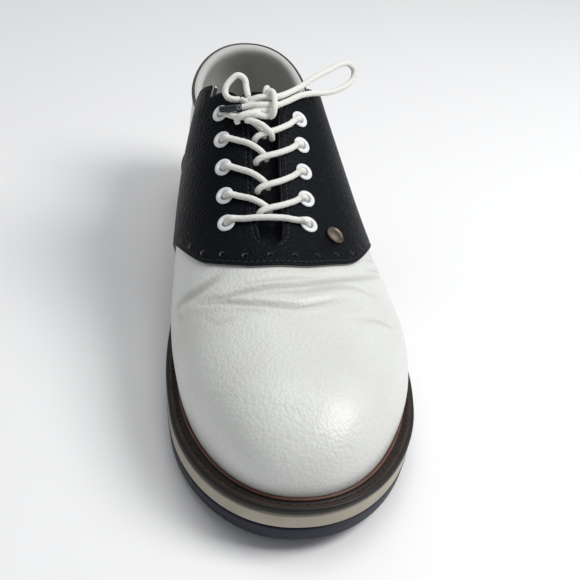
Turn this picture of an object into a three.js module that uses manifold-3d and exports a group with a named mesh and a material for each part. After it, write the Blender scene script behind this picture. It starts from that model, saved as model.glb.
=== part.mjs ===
// A left golf saddle shoe, empty and standing on its sole, as an assembly of separate solids.
// Millimetres. +X is the outer (lateral) side, the toe points to -Y and +Z is up. The origin is on the
// floor under the middle of the sole. The upper is one function of two numbers: a share of the last's
// length, 0 at the heel and 1 at the toe, and a place round the section, -1 at the inner feather
// edge, 0 on the ridge and 1 at the outer feather edge. Every leather piece is cut from that function.
import * as THREE from "three";
import { mergeVertices } from "three/addons/utils/BufferGeometryUtils.js";
import Module from "manifold-3d";

const wasm = await Module();
wasm.setup();

// Driving dimensions of the last and the sole
const lastLength = 292;
const ballWidth = 97;
const instepHeight = 95.5;
const heelStack = 31;
const foreStack = 18.5;
const toeSpring = 6;
const archLift = 6;
const gap = 0.3;

// Upper
const upperWall = 2.4;
const collarPad = 2.2;
const collarPadBand = 24;
const collarHeight = 93.5;
const lateralDrop = 3;
const saddleThickness = 1.4;
const bindingThickness = 1;
const bindingWidth = 3.2;
const tongueThickness = 3.2;
const throatHalf = 6.2;
const laceLine = -10;
const insoleThickness = 4;

// Sole
const weltReach = 6.3;
const weltThickness = 3.5;
const weltUnderUpper = 6;
const midsoleFore = 7;
const midsoleHeel = 14;
const treadDepth = 2.2;
const treadRim = 9;
const nubRadius = 5;
const nubPitch = 18;

// Lacing
const eyeletRows = 5;
const eyeletTopShare = 0.425;
const eyeletLowShare = 0.603;
const eyeletGauge = 35.8;
const outerRow = { drop: 1.9, inward: 1.2 }; // the outer row lies this much nearer the toe and the middle
const eyeletFlangeRadius = 4.2;
const eyeletHoleRadius = 2.1;
const eyeletWall = 0.5;
const eyeletFlange = 1.1;
const laceDiameter = 2.8;
const badgeRadius = 4.3;
const badgeThickness = 1.3;

// Colours and finishes
const finishes = {
  whiteLeather: { color: 0xd9dbd8, roughness: 0.45, metalness: 0 },
  navyLeather: { color: 0x10131f, roughness: 0.42, metalness: 0 },
  greyBinding: { color: 0x4b4c50, roughness: 0.7, metalness: 0 },
  greyFootbed: { color: 0x8b8c8d, roughness: 0.9, metalness: 0 },
  brownWelt: { color: 0x35251c, roughness: 0.6, metalness: 0 },
  creamMidsole: { color: 0xc9c3b4, roughness: 0.65, metalness: 0 },
  navyRubber: { color: 0x151b33, roughness: 0.6, metalness: 0 },
  whiteEnamel: { color: 0xf0f0f0, roughness: 0.3, metalness: 0 },
  whiteCord: { color: 0xe8e8e2, roughness: 0.85, metalness: 0 },
  navyAglet: { color: 0x141a2b, roughness: 0.35, metalness: 0 },
  agedSilver: { color: 0xb0aa9c, roughness: 0.35, metalness: 0.9 },
};

// One row per section of the last. at: share of the length. half, swing, ridge and reach: half width at the
// feather edge, sideways place of its middle, sideways place of the crown and spread of the sole past the
// upper, as shares of ballWidth, but reach of weltReach. crown: height over the feather edge, of
// instepHeight. wall, full: how far the side goes up straight and the crown goes out flat. flare: bulge.
const sections = [
  { at: 0.0, half: 0.338, swing: -0.054, ridge: -0.052, crown: 1.173, wall: 0.64, full: 0.68, flare: 0.02, reach: 0.55 },
  { at: 0.12, half: 0.343, swing: -0.059, ridge: -0.052, crown: 1.173, wall: 0.62, full: 0.66, flare: 0.0, reach: 0.55 },
  { at: 0.26, half: 0.345, swing: -0.052, ridge: -0.078, crown: 1.112, wall: 0.6, full: 0.64, flare: 0.05, reach: 0.55 },
  { at: 0.38, half: 0.366, swing: -0.036, ridge: -0.118, crown: 0.945, wall: 0.57, full: 0.64, flare: 0.22, reach: 0.6 },
  { at: 0.5, half: 0.418, swing: -0.021, ridge: -0.122, crown: 0.772, wall: 0.5, full: 0.53, flare: 0.25, reach: 0.75 },
  { at: 0.61, half: 0.474, swing: -0.005, ridge: -0.105, crown: 0.604, wall: 0.5, full: 0.5, flare: 0.21, reach: 0.93 },
  { at: 0.71, half: 0.5, swing: 0.0, ridge: -0.08, crown: 0.516, wall: 0.54, full: 0.54, flare: 0.17, reach: 1.0 },
  { at: 0.81, half: 0.477, swing: -0.013, ridge: -0.067, crown: 0.44, wall: 0.62, full: 0.58, flare: 0.12, reach: 1.0 },
  { at: 0.91, half: 0.436, swing: -0.034, ridge: -0.05, crown: 0.382, wall: 0.7, full: 0.6, flare: 0.08, reach: 1.0 },
  { at: 1.0, half: 0.41, swing: -0.054, ridge: -0.052, crown: 0.346, wall: 0.72, full: 0.6, flare: 0.06, reach: 1.0 },
];

// Side profile of the sole. heel, toe: shares of the heel's extra stack and of the toe spring in the height of
// the feather edge. arch: share of archLift, and spring: share of the toe spring, in the underside.
const soleProfile = [
  { at: 0.0, heel: 1.0, toe: 0.0, mid: 1.0 },
  { at: 0.15, heel: 0.88, toe: 0.0, mid: 0.9 },
  { at: 0.3, heel: 0.64, toe: 0.0, mid: 0.6 },
  { at: 0.45, heel: 0.32, toe: 0.0, mid: 0.22 },
  { at: 0.6, heel: 0.08, toe: 0.0, mid: 0.0 },
  { at: 0.75, heel: 0.0, toe: 0.0, mid: 0.0 },
  { at: 0.88, heel: 0.0, toe: 0.22, mid: 0.0 },
  { at: 1.0, heel: 0.0, toe: 1.0, mid: 0.0 },
];
const underside = [
  { at: 0.0, arch: 0.0, spring: 0.0 },
  { at: 0.265, arch: 0.0, spring: 0.0 },
  { at: 0.285, arch: 1.0, spring: 0.0 },
  { at: 0.4, arch: 0.8, spring: 0.0 },
  { at: 0.55, arch: 0.0, spring: 0.0 },
  { at: 0.8, arch: 0.0, spring: 0.0 },
  { at: 0.9, arch: 0.0, spring: 0.38 },
  { at: 1.0, arch: 0.0, spring: 1.0 },
];

// Height of the collar's edge over the floor, as a share of collarHeight, from the heel to the facings' tops
const topline = [
  { at: -0.041, rise: 1.01 },
  { at: 0.027, rise: 0.985 },
  { at: 0.086, rise: 0.89 },
  { at: 0.144, rise: 0.82 },
  { at: 0.188, rise: 0.813 },
  { at: 0.226, rise: 0.845 },
  { at: 0.267, rise: 0.93 },
  { at: 0.315, rise: 1.048 },
  { at: 0.36, rise: 1.144 },
  { at: 0.39, rise: 1.198 },
];
const facingTop = 0.385;

// The gap between the facings. half: its half width, of throatHalf. floor: how deep it cuts, of the crown's
// height, so that the round corners at its top leave the sides whole.
const throat = [
  { at: 0.36, half: 5.2, floor: 0.87 },
  { at: 0.374, half: 4.2, floor: 0.86 },
  { at: 0.381, half: 3.3, floor: 0.85 },
  { at: 0.392, half: 2.35, floor: 0.82 },
  { at: 0.41, half: 1.65, floor: 0.75 },
  { at: 0.44, half: 1.25, floor: 0.62 },
  { at: 0.5, half: 1.05, floor: 0.62 },
  { at: 0.62, half: 0.95, floor: 0.62 },
  { at: 0.64, half: 0.82, floor: 0.62 },
  { at: 0.651, half: 0.5, floor: 0.62 },
  { at: 0.656, half: 0.12, floor: 0.62 },
];

// Front and back edges of the saddle, by distance round the section from the ridge
const saddleEdges = [
  { round: 0.0, front: 0.694, back: 0.3 },
  { round: 0.15, front: 0.69, back: 0.3 },
  { round: 0.3, front: 0.67, back: 0.305 },
  { round: 0.4, front: 0.65, back: 0.31 },
  { round: 0.5, front: 0.615, back: 0.31 },
  { round: 0.65, front: 0.555, back: 0.285 },
  { round: 0.8, front: 0.505, back: 0.245 },
  { round: 1.0, front: 0.475, back: 0.2 },
];

// How the outline and the toe box close at the ends: over what length, and how square
const heelRound = { length: 46, power: 2.15 };
const toeRound = { length: 64, power: 2.15 };
const toeBox = { length: 36, power: 2.2 };
const heelCurve = { bulge: 4.5, lean: 11, tall: 62, reach: 45 };
const toeBulge = { out: 2, tall: 30, reach: 30 };

// Smooth curve through a table's column, with straight ends (a natural cubic spline)
function spline(table, key, name, scale = 1) {
  const x = table.map((row) => row[key]);
  const y = table.map((row) => row[name] * scale);
  const n = x.length;
  const bend = new Array(n).fill(0);
  const upper = new Array(n).fill(0);
  for (let i = 1; i < n - 1; i++) {
    const before = x[i] - x[i - 1];
    const after = x[i + 1] - x[i];
    const pivot = 2 * (before + after) - before * upper[i - 1];
    const slopes = (y[i + 1] - y[i]) / after - (y[i] - y[i - 1]) / before;
    upper[i] = after / pivot;
    bend[i] = (6 * slopes - before * bend[i - 1]) / pivot;
  }
  for (let i = n - 2; i > 0; i--) bend[i] -= upper[i] * bend[i + 1];
  return (v) => {
    let i = 0;
    while (i < n - 2 && v > x[i + 1]) i++;
    const h = x[i + 1] - x[i];
    const slope = (y[i + 1] - y[i]) / h;
    if (v < x[0]) return y[0] + (v - x[0]) * (slope - (bend[1] * h) / 6);
    if (v > x[n - 1]) return y[n - 1] + (v - x[n - 1]) * (slope + (bend[n - 2] * h) / 6);
    const a = (x[i + 1] - v) / h;
    const b = (v - x[i]) / h;
    const curve = ((a ** 3 - a) * bend[i] + (b ** 3 - b) * bend[i + 1]) * (h * h) / 6;
    return a * y[i] + b * y[i + 1] + curve;
  };
}

// Straight lines between a table's rows
function steps(table, key, name, scale = 1) {
  return (v) => {
    let i = 1;
    while (i < table.length - 1 && v > table[i][key]) i++;
    const [before, after] = [table[i - 1], table[i]];
    const f = (v - before[key]) / (after[key] - before[key]);
    return scale * (before[name] + f * (after[name] - before[name]));
  };
}

const clamp = (v, low, high) => Math.min(high, Math.max(low, v));
const smooth = (v) => clamp(v, 0, 1) ** 2 * (3 - 2 * clamp(v, 0, 1));
const closing = (d, end) => (1 - clamp(1 - d / end.length, 0, 1) ** end.power) ** (1 / end.power);

const half = spline(sections, "at", "half", ballWidth);
const swing = spline(sections, "at", "swing", ballWidth);
const ridge = spline(sections, "at", "ridge", ballWidth);
const crown = spline(sections, "at", "crown", instepHeight);
const wallShare = spline(sections, "at", "wall");
const fullShare = spline(sections, "at", "full");
const flare = spline(sections, "at", "flare");
const reach = spline(sections, "at", "reach", weltReach);
const heelPart = spline(soleProfile, "at", "heel", heelStack - foreStack);
const toePart = spline(soleProfile, "at", "toe", toeSpring);
const midExtra = spline(soleProfile, "at", "mid", midsoleHeel - midsoleFore);
const archPart = steps(underside, "at", "arch", archLift);
const springPart = steps(underside, "at", "spring", toeSpring);
const toplineRise = spline(topline, "at", "rise", collarHeight);
const saddleFront = spline(saddleEdges, "round", "front");
const saddleBack = spline(saddleEdges, "round", "back");

const feather = (share) => foreStack + heelPart(share) + toePart(share);
const ground = (share) => archPart(share) + springPart(share);
const weltTop = (share) => feather(share) - gap;
const midsoleTop = (share) => weltTop(share) - weltThickness - gap;
const outsoleTop = (share) => midsoleTop(share) - midsoleFore - midExtra(share) - gap;

const heelReach = reach(0);
const toeReach = reach(1);
const soleLength = lastLength + heelReach + toeReach;
const heelY = soleLength / 2 - heelReach;
const yAt = (share) => heelY - share * lastLength;
const shareAt = (y) => (heelY - y) / lastLength;

// A point of the last's surface
function lastPoint(share, round) {
  const side = round < 0 ? -1 : 1;
  const t = 1 - Math.abs(round);
  const fromToe = (1 - share) * lastLength;
  const fromHeel = share * lastLength;
  const ends = closing(fromHeel, heelRound) * closing(fromToe, toeRound);
  const w = half(share) * ends;
  const h = crown(share) * closing(fromToe, toeBox);
  const middle = swing(share);
  const top = middle + (ridge(share) - middle) * closing(fromToe, toeRound);
  const x = [middle + side * w, middle + side * w * (1 + 1.8 * flare(share))];
  x.push(top + side * fullShare(share) * w, top);
  const z = [0, wallShare(share) * h, h, h];
  const weights = [(1 - t) ** 3, 3 * t * (1 - t) ** 2, 3 * t * t * (1 - t), t ** 3];
  const px = weights.reduce((sum, b, i) => sum + b * x[i], 0);
  const pz = weights.reduce((sum, b, i) => sum + b * z[i], 0);
  const up = pz / heelCurve.tall;
  const back = heelCurve.lean * up * up - 4 * heelCurve.bulge * up * (1 - up);
  const out = clamp(pz / toeBulge.tall, 0, 1);
  const shift =
    back * Math.exp(-((fromHeel / heelCurve.reach) ** 2)) +
    4 * toeBulge.out * out * (1 - out) * Math.exp(-((fromToe / toeBulge.reach) ** 2));
  return new THREE.Vector3(px, yAt(share) - shift, pz + feather(share));
}

const firstShare = 0.001;
const lastShare = 0.999;
const shareStep = 0.002;
const roundStep = 0.004;

// The surface's outward direction
function normalAt(share, round) {
  const s0 = Math.max(firstShare, share - shareStep);
  const s1 = Math.min(lastShare, share + shareStep);
  const r0 = Math.max(-1, round - roundStep);
  const r1 = Math.min(1, round + roundStep);
  const along = lastPoint(s1, round).sub(lastPoint(s0, round));
  const across = lastPoint(share, r1).sub(lastPoint(share, r0));
  return across.cross(along).normalize().negate();
}

// A point at a height over the last's surface, or under it where the height is negative
const skin = (share, round, height) =>
  lastPoint(share, round).addScaledVector(normalAt(share, round), height);

// The place round the section's top that lies at a sideways distance from the lacing's middle line
function roundAt(share, sideways) {
  const target = laceLine + sideways;
  const side = target < ridge(share) ? -1 : 1;
  let low = 0;
  let high = 0.75;
  for (let i = 0; i < 30; i++) {
    const middle = (low + high) / 2;
    if (side * (lastPoint(share, side * middle).x - target) < 0) low = middle;
    else high = middle;
  }
  return (side * (low + high)) / 2;
}

// Height of the collar's edge, lower on the outer side
function toplineAt(share, x) {
  const ankle = Math.exp(-(((share - 0.19) / 0.12) ** 2));
  return toplineRise(share) - (lateralDrop * ankle * clamp(x / 30, -1, 1)) / 2;
}

// A closed mesh as a solid, whichever way its faces wind
function solid(points, triangles) {
  const vertProperties = new Float32Array(points.flatMap((p) => [p.x, p.y, p.z]));
  const make = (list) =>
    new wasm.Manifold(new wasm.Mesh({ numProp: 3, vertProperties, triVerts: new Uint32Array(list) }));
  const first = make(triangles);
  if (first.volume() > 0) return first;
  const turned = [];
  for (let i = 0; i < triangles.length; i += 3) turned.push(triangles[i], triangles[i + 2], triangles[i + 1]);
  return make(turned);
}

// Joins rings with the same number of points. Each end is closed by a strip between the ring's two halves.
function loft(rings) {
  const n = rings[0].length;
  const triangles = [];
  for (let i = 0; i < rings.length - 1; i++) {
    for (let j = 0; j < n; j++) {
      const a = i * n + j;
      const b = i * n + ((j + 1) % n);
      triangles.push(a, b, b + n, a, b + n, a + n);
    }
  }
  for (const [base, turn] of [[0, true], [(rings.length - 1) * n, false]]) {
    for (let j = 0; j < Math.floor(n / 2) - 1 + (n % 2); j++) {
      const a = base + j;
      const b = base + n - 1 - j;
      const quad = j + 1 === n - 2 - j ? [[a, a + 1, b]] : [[a, a + 1, b - 1], [a, b - 1, b]];
      for (const [p, q, r] of quad) triangles.push(...(turn ? [p, r, q] : [p, q, r]));
    }
  }
  return solid(rings.flat(), triangles);
}

// Stations that crowd towards both ends, where the outline turns
const stations = (count, low, high) =>
  Array.from({ length: count + 1 }, (_, i) => low + ((high - low) * (1 - Math.cos((Math.PI * i) / count))) / 2);
const evenly = (count, low, high) =>
  Array.from({ length: count + 1 }, (_, i) => low + ((high - low) * i) / count);

const sectionCount = 30;
const roundCount = 16;
const sectionShares = stations(sectionCount, firstShare, lastShare);
const roundPlaces = evenly(roundCount, -1, 1);

// The whole last at a height over its surface. A drop lengthens it downwards, so that it opens what it cuts.
function form(height, drop = 0) {
  return loft(
    sectionShares.map((share) => {
      const ring = roundPlaces.map((round) => {
        const h = typeof height === "function" ? height(share, round) : height;
        return skin(share, round, h);
      });
      if (!drop) return ring;
      const foot = (p) => new THREE.Vector3(p.x, p.y, p.z - drop);
      return [foot(ring[0]), ...ring, foot(ring[ring.length - 1])];
    }),
  );
}

// What lies over the collar's edge, moved by a height, back of a share of the length
function overTopline(raise, share = facingTop, top = 260) {
  const wide = 95;
  return loft(
    evenly(32, -0.09, share).map((at) =>
      [-wide, -30, 30, wide]
        .map((x) => new THREE.Vector3(x, yAt(at), toplineAt(at, x) + raise))
        .concat([wide, 30, -30, -wide].map((x) => new THREE.Vector3(x, yAt(at), top))),
    ),
  );
}

// The gap between the facings, from the collar to its round lower end
function throatCut() {
  return loft(
    throat.map(({ at: share, half: wide, floor: depth }) => {
      const w = wide * throatHalf;
      const corner = (x, z) => new THREE.Vector3(laceLine + x, yAt(share), z);
      const floor = feather(share) + crown(share) * depth;
      return [corner(-w, floor), corner(w, floor), corner(w, 260), corner(-w, 260)];
    }),
  );
}

// The part of the shell's space between two edges, from a depth under the surface to a height over it
function region(back, front, low, high, depth, height) {
  return loft(
    evenly(18, low, high).map((round) => {
      const shares = evenly(6, back(Math.abs(round)), front(Math.abs(round)));
      const upper = shares.map((share) => skin(share, round, height));
      const under = shares.map((share) => skin(share, round, depth)).reverse();
      return [...upper, ...under];
    }),
  );
}

// A point of the sole's edge, at an inset from its widest line
function soleEdge(place, side, inset, height) {
  const length = soleLength - 2 * inset;
  const fromHeel = place * length;
  const y = soleLength / 2 - inset - fromHeel;
  const share = shareAt(y);
  const ends = closing(fromHeel, heelRound) * closing(length - fromHeel, toeRound);
  const w = (half(share) + reach(share) - inset) * ends;
  return new THREE.Vector3(swing(share) + side * w, y, height(share));
}

const edgeCount = 30;

// The sole's outline as a closed loop from the heel round by the inner side to the toe and back
function soleLoop(inset, height) {
  const places = stations(edgeCount, 0, 1);
  const inner = places.map((place) => soleEdge(place, -1, inset, height));
  const outer = places.slice(1, -1).map((place) => soleEdge(place, 1, inset, height));
  return [...inner, ...outer.reverse()];
}

// Stacks loops into a plate, closed below and above by strips across it
function plate(loops) {
  const n = loops[0].length;
  const triangles = [];
  for (let i = 0; i < loops.length - 1; i++) {
    for (let j = 0; j < n; j++) {
      const a = i * n + j;
      const b = i * n + ((j + 1) % n);
      triangles.push(a, b, b + n, a, b + n, a + n);
    }
  }
  for (const [base, turn] of [[0, true], [(loops.length - 1) * n, false]]) {
    for (let j = 0; j < n / 2; j++) {
      const [a, b] = [base + j, base + j + 1];
      const [c, d] = [base + ((n - j - 1) % n), base + ((n - j) % n)];
      const quad = j === 0 ? [[a, b, c]] : j === n / 2 - 1 ? [[a, b, d]] : [[a, b, c], [a, c, d]];
      for (const [p, q, r] of quad) triangles.push(...(turn ? [p, r, q] : [p, q, r]));
    }
  }
  return solid(loops.flat(), triangles);
}

// Joins loops into a closed band, the last to the first
function band(loops) {
  const n = loops[0].length;
  const triangles = [];
  for (let i = 0; i < loops.length; i++) {
    const next = ((i + 1) % loops.length) * n;
    for (let j = 0; j < n; j++) {
      const k = (j + 1) % n;
      triangles.push(i * n + j, i * n + k, next + k, i * n + j, next + k, next + j);
    }
  }
  return solid(loops.flat(), triangles);
}

// A three.js geometry as a solid, placed by a matrix
function fromGeometry(geometry, matrix = new THREE.Matrix4()) {
  const bare = geometry.index ? geometry.toNonIndexed() : geometry.clone();
  bare.deleteAttribute("normal");
  bare.deleteAttribute("uv");
  const merged = mergeVertices(bare.applyMatrix4(matrix), 1e-4);
  const position = merged.getAttribute("position");
  const points = Array.from({ length: position.count }, (_, i) => new THREE.Vector3().fromBufferAttribute(position, i));
  return solid(points, Array.from(merged.index.array));
}

function toGeometry(part) {
  const mesh = part.getMesh();
  const geometry = new THREE.BufferGeometry();
  const positions = new Float32Array(mesh.numVert * 3);
  for (let i = 0; i < mesh.numVert; i++)
    for (let k = 0; k < 3; k++) positions[3 * i + k] = mesh.vertProperties[i * mesh.numProp + k];
  geometry.setAttribute("position", new THREE.BufferAttribute(positions, 3));
  geometry.setIndex(new THREE.BufferAttribute(new Uint32Array(mesh.triVerts), 1));
  geometry.computeVertexNormals();
  return geometry;
}

const shoe = new THREE.Group();
function add(name, part, finish) {
  const mesh = new THREE.Mesh(toGeometry(part), new THREE.MeshStandardMaterial(finishes[finish]));
  mesh.name = name;
  shoe.add(mesh);
}

// Turns a shape made round the Y axis so that it stands on the surface
function standing(share, round, height) {
  const turn = new THREE.Quaternion().setFromUnitVectors(new THREE.Vector3(0, 1, 0), normalAt(share, round));
  return new THREE.Matrix4().compose(skin(share, round, height), turn, new THREE.Vector3(1, 1, 1));
}

// The eyelets, from the lowest row up
const saddleTop = gap + saddleThickness;
const eyelets = [];
for (let row = 0; row < eyeletRows; row++) {
  const share = eyeletLowShare + ((eyeletTopShare - eyeletLowShare) * row) / (eyeletRows - 1);
  eyelets.push({ row, side: -1, share, round: roundAt(share, -eyeletGauge / 2) });
  const outer = share + outerRow.drop / lastLength;
  eyelets.push({ row, side: 1, share: outer, round: roundAt(outer, eyeletGauge / 2 - outerRow.inward) });
}
const barrelRadius = eyeletHoleRadius + eyeletWall;
const eyeletHoles = eyelets.map(({ share, round }) =>
  fromGeometry(new THREE.CylinderGeometry(barrelRadius + 0.5, barrelRadius + 0.5, 16, 8), standing(share, round, 0)),
);
const cutAll = (part, cutters) => cutters.reduce((left, cutter) => left.subtract(cutter), part);

// Upper: one hollow shell of vamp and quarters, thicker at the padded collar, open at collar, throat and below
function liningDepth(share, round) {
  const p = lastPoint(share, round);
  const near = smooth(1 - (toplineAt(share, p.x) - p.z) / collarPadBand);
  const behind = smooth((0.34 - share) / 0.07);
  return -(upperWall + collarPad * near * behind);
}
const shell = form(0).subtract(form(liningDepth, 8));
const throatOpening = throatCut();
const collarOpening = overTopline(0);
const upper = cutAll(shell, [collarOpening, throatOpening, ...eyeletHoles]);

// Saddle: the overlay that carries the eyelets, from the instep down to the sole on both sides
const saddleForm = form(saddleTop).subtract(form(gap, 8));
const saddleRegion = region(saddleBack, saddleFront, -1, 1, -3, 5);
const underWelt = plate([soleLoop(-30, () => -60), soleLoop(-30, feather)]);
const saddleCuts = [collarOpening, throatOpening, underWelt, ...eyeletHoles];
const saddle = cutAll(saddleForm.intersect(saddleRegion), saddleCuts);

// Binding along the collar's edge, from the saddle on one side round the heel to the saddle on the other
function rimRound(share, side, lower) {
  let low = 0;
  let high = 1;
  for (let i = 0; i < 30; i++) {
    const middle = (low + high) / 2;
    const p = lastPoint(share, side * middle);
    if (p.z > toplineAt(shareAt(p.y), p.x) - lower) low = middle;
    else high = middle;
  }
  return (side * (low + high)) / 2;
}
const bindingFront = saddleBack(0.65) - 0.012;
const bindingShares = [...sectionShares.filter((share) => share < 0.1), ...evenly(11, 0.1, bindingFront)];
const bindingSide = (side) =>
  bindingShares.map((share) => {
    const edge = (lower, height) => skin(share, rimRound(share, side, lower), height);
    const inner = 2 * gap;
    const outer = inner + bindingThickness;
    return [edge(0.2, inner), edge(bindingWidth, inner), edge(bindingWidth, outer), edge(0.2, outer)];
  });
const binding = loft([...bindingSide(-1).reverse(), ...bindingSide(1)]);

// Tongue: a padded flap under the facings, from inside the vamp to the facings' tops
const tongueShape = [
  { at: 0.386, half: 0.16, thin: 0.6, sink: 2.2 },
  { at: 0.39, half: 0.26, thin: 0.9, sink: 2.1 },
  { at: 0.4, half: 0.34, thin: 1.1, sink: 2.0 },
  { at: 0.42, half: 0.38, thin: 1.1, sink: 1.8 },
  { at: 0.5, half: 0.42, thin: 1, sink: 1.2 },
  { at: 0.6, half: 0.42, thin: 0.8, sink: 0.6 },
  { at: 0.68, half: 0.38, thin: 0.6, sink: 0.1 },
  { at: 0.7, half: 0.3, thin: 0.4, sink: 0 },
];
const tongueWidth = steps(tongueShape, "at", "half");
const tongueThin = steps(tongueShape, "at", "thin", tongueThickness);
const tongueSink = steps(tongueShape, "at", "sink", upperWall);
const tongueShares = [0.386, 0.39, 0.395, 0.405, ...evenly(10, 0.42, 0.68), 0.7];
const tongue = loft(
  tongueShares.map((share) => {
    const rounds = evenly(8, -tongueWidth(share), tongueWidth(share));
    const top = (round) => -upperWall - 2 * gap - tongueSink(share) * (1 - (round / 0.5) ** 2);
    const over = rounds.map((round) => skin(share, round, top(round)));
    const under = rounds.map((round) => skin(share, round, top(round) - tongueThin(share)));
    return [...over, ...under.reverse()];
  }),
);

// Insole: fills the upper's floor inside its wall
function insoleLoop(height) {
  const inset = -(upperWall + 2 * gap);
  const shares = stations(edgeCount, 0.012, 0.988);
  const at = (share, side) => {
    const p = skin(share, side, inset);
    return p.setZ(feather(shareAt(p.y)) + height);
  };
  const inner = shares.map((share) => at(share, -1));
  const outer = shares.map((share) => at(share, 1));
  return { inner, outer };
}
const insoleBottom = insoleLoop(0);
const insoleTop = insoleLoop(insoleThickness);
const insole = loft(
  insoleBottom.inner.map((p, i) => [p, insoleBottom.outer[i], insoleTop.outer[i], insoleTop.inner[i]]),
);

// Welt: a strip round the sole that runs in under the upper's edge
const weltInset = weltReach + weltUnderUpper;
const weltBottom = (share) => weltTop(share) - weltThickness;
const welt = band([
  soleLoop(0, (share) => weltTop(share) - 0.8),
  soleLoop(0.7, weltTop),
  soleLoop(weltInset, weltTop),
  soleLoop(weltInset, weltBottom),
  soleLoop(0.5, weltBottom),
]);

// Midsole: a wedge with a raised middle that fills the welt's ring
const midsoleBottom = (share) => outsoleTop(share) + gap;
const midsole = plate([
  soleLoop(0.9, midsoleBottom),
  soleLoop(0.4, (share) => midsoleBottom(share) + 1.2),
  soleLoop(0.6, (share) => midsoleTop(share) - 1.5),
  soleLoop(1.3, midsoleTop),
  soleLoop(weltInset + gap, midsoleTop),
  soleLoop(weltInset + gap, weltTop),
]);

// Outsole: flat under heel and forefoot, with an arch, a heel breast, toe spring and round nubs in two pockets
const outsoleBlank = plate([
  soleLoop(2.2, ground),
  soleLoop(0.9, (share) => ground(share) + 1.3),
  soleLoop(0.5, (share) => outsoleTop(share) - 0.8),
  soleLoop(1, outsoleTop),
]);
const pocketRanges = [
  { name: "heel", from: 0.03, to: 0.235 },
  { name: "forefoot", from: 0.585, to: 0.965 },
];
const pocketFloor = plate([
  soleLoop(treadRim, (share) => ground(share) - 4),
  soleLoop(treadRim, (share) => ground(share) + treadDepth),
]);
function treadCut({ from, to }) {
  const length = (to - from) * lastLength;
  const window = new THREE.BoxGeometry(2 * ballWidth, length, 4 * heelStack);
  const place = new THREE.Matrix4().makeTranslation(0, yAt((from + to) / 2), 0);
  let pocket = pocketFloor.intersect(fromGeometry(window, place));
  const rows = Math.round(length / nubPitch);
  for (let i = 0; i < rows; i++) {
    const y = yAt(from) - ((i + 0.5) * length) / rows;
    const share = shareAt(y);
    const room = half(share) - treadRim - nubRadius;
    const offset = i % 2 ? nubPitch / 2 : 0;
    for (let x = -3 * nubPitch + offset; x <= 3 * nubPitch; x += nubPitch) {
      const inside = Math.abs(x) < room && share < 0.93 && share > 0.05;
      if (!inside) continue;
      const nub = new THREE.CylinderGeometry(nubRadius, nubRadius, 4 * treadDepth + 12, 6);
      nub.rotateX(Math.PI / 2);
      const at = new THREE.Matrix4().makeTranslation(swing(share) + x, y, ground(share));
      pocket = pocket.subtract(fromGeometry(nub, at));
    }
  }
  return pocket;
}
const outsole = cutAll(outsoleBlank, pocketRanges.map(treadCut));

add("outsole", outsole, "navyRubber");
add("midsole", midsole, "creamMidsole");
add("welt", welt, "brownWelt");
add("insole", insole, "greyFootbed");
add("upper", upper, "whiteLeather");
add("saddle", saddle, "navyLeather");
add("collar_binding", binding, "greyBinding");
add("tongue", tongue, "navyLeather");

// Eyelets: a flange on the saddle and a barrel through the leather
const barrelLength = saddleTop + upperWall - gap;
const eyeletProfile = [
  [eyeletHoleRadius, -barrelLength],
  [barrelRadius, -barrelLength],
  [barrelRadius, gap],
  [eyeletFlangeRadius, gap],
  [eyeletHoleRadius, gap + eyeletFlange],
  [eyeletHoleRadius, -barrelLength],
].map(([r, y]) => new THREE.Vector2(r, y));
for (const { row, side, share, round } of eyelets) {
  const ring = fromGeometry(new THREE.LatheGeometry(eyeletProfile, 8), standing(share, round, saddleTop));
  add(`eyelet_${side < 0 ? "inner" : "outer"}_${row + 1}`, ring, "whiteEnamel");
}

// Stud on the outer side of the saddle, beside the lowest eyelet
const studShare = eyeletLowShare + 0.009;
const studSideways = eyeletGauge / 2 + 10.5;
const studProfile = [
  [0, gap],
  [badgeRadius, gap],
  [badgeRadius, gap + badgeThickness * 0.7],
  [badgeRadius - 0.5, gap + badgeThickness],
  [badgeRadius - 1.1, gap + badgeThickness * 0.7],
  [0, gap + badgeThickness],
].map(([r, y]) => new THREE.Vector2(r, y));
const stud = fromGeometry(
  new THREE.LatheGeometry(studProfile, 12),
  standing(studShare, roundAt(studShare, studSideways), saddleTop + 0.1),
);
add("stud", stud, "agedSilver");

// Round cord along a list of points
const cordSides = 8;
function cord(points, count, radius = laceDiameter / 2, tension = 0.5) {
  const path = new THREE.CatmullRomCurve3(points, false, "centripetal", tension);
  const section = new THREE.Shape();
  for (let i = 0; i < cordSides; i++) {
    const angle = (2 * Math.PI * i) / cordSides;
    const corner = [radius * Math.cos(angle), radius * Math.sin(angle)];
    if (i) section.lineTo(...corner);
    else section.moveTo(...corner);
  }
  return fromGeometry(new THREE.ExtrudeGeometry(section, { extrudePath: path, steps: count, bevelEnabled: false }));
}

// A point over the facings: sideways from the lacing's middle, at a share of the length and a height
const over = (share, sideways, height) => skin(share, roundAt(share, sideways), height);

const rowShare = (row) => eyelets[2 * row].share;
const rowPitch = rowShare(0) - rowShare(1);
const laceRadius = laceDiameter / 2;
const overSaddle = saddleTop + gap + laceRadius;
const overEyelet = saddleTop + 2 * gap + eyeletFlange + laceRadius;
const gauge = eyeletGauge / 2;

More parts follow.
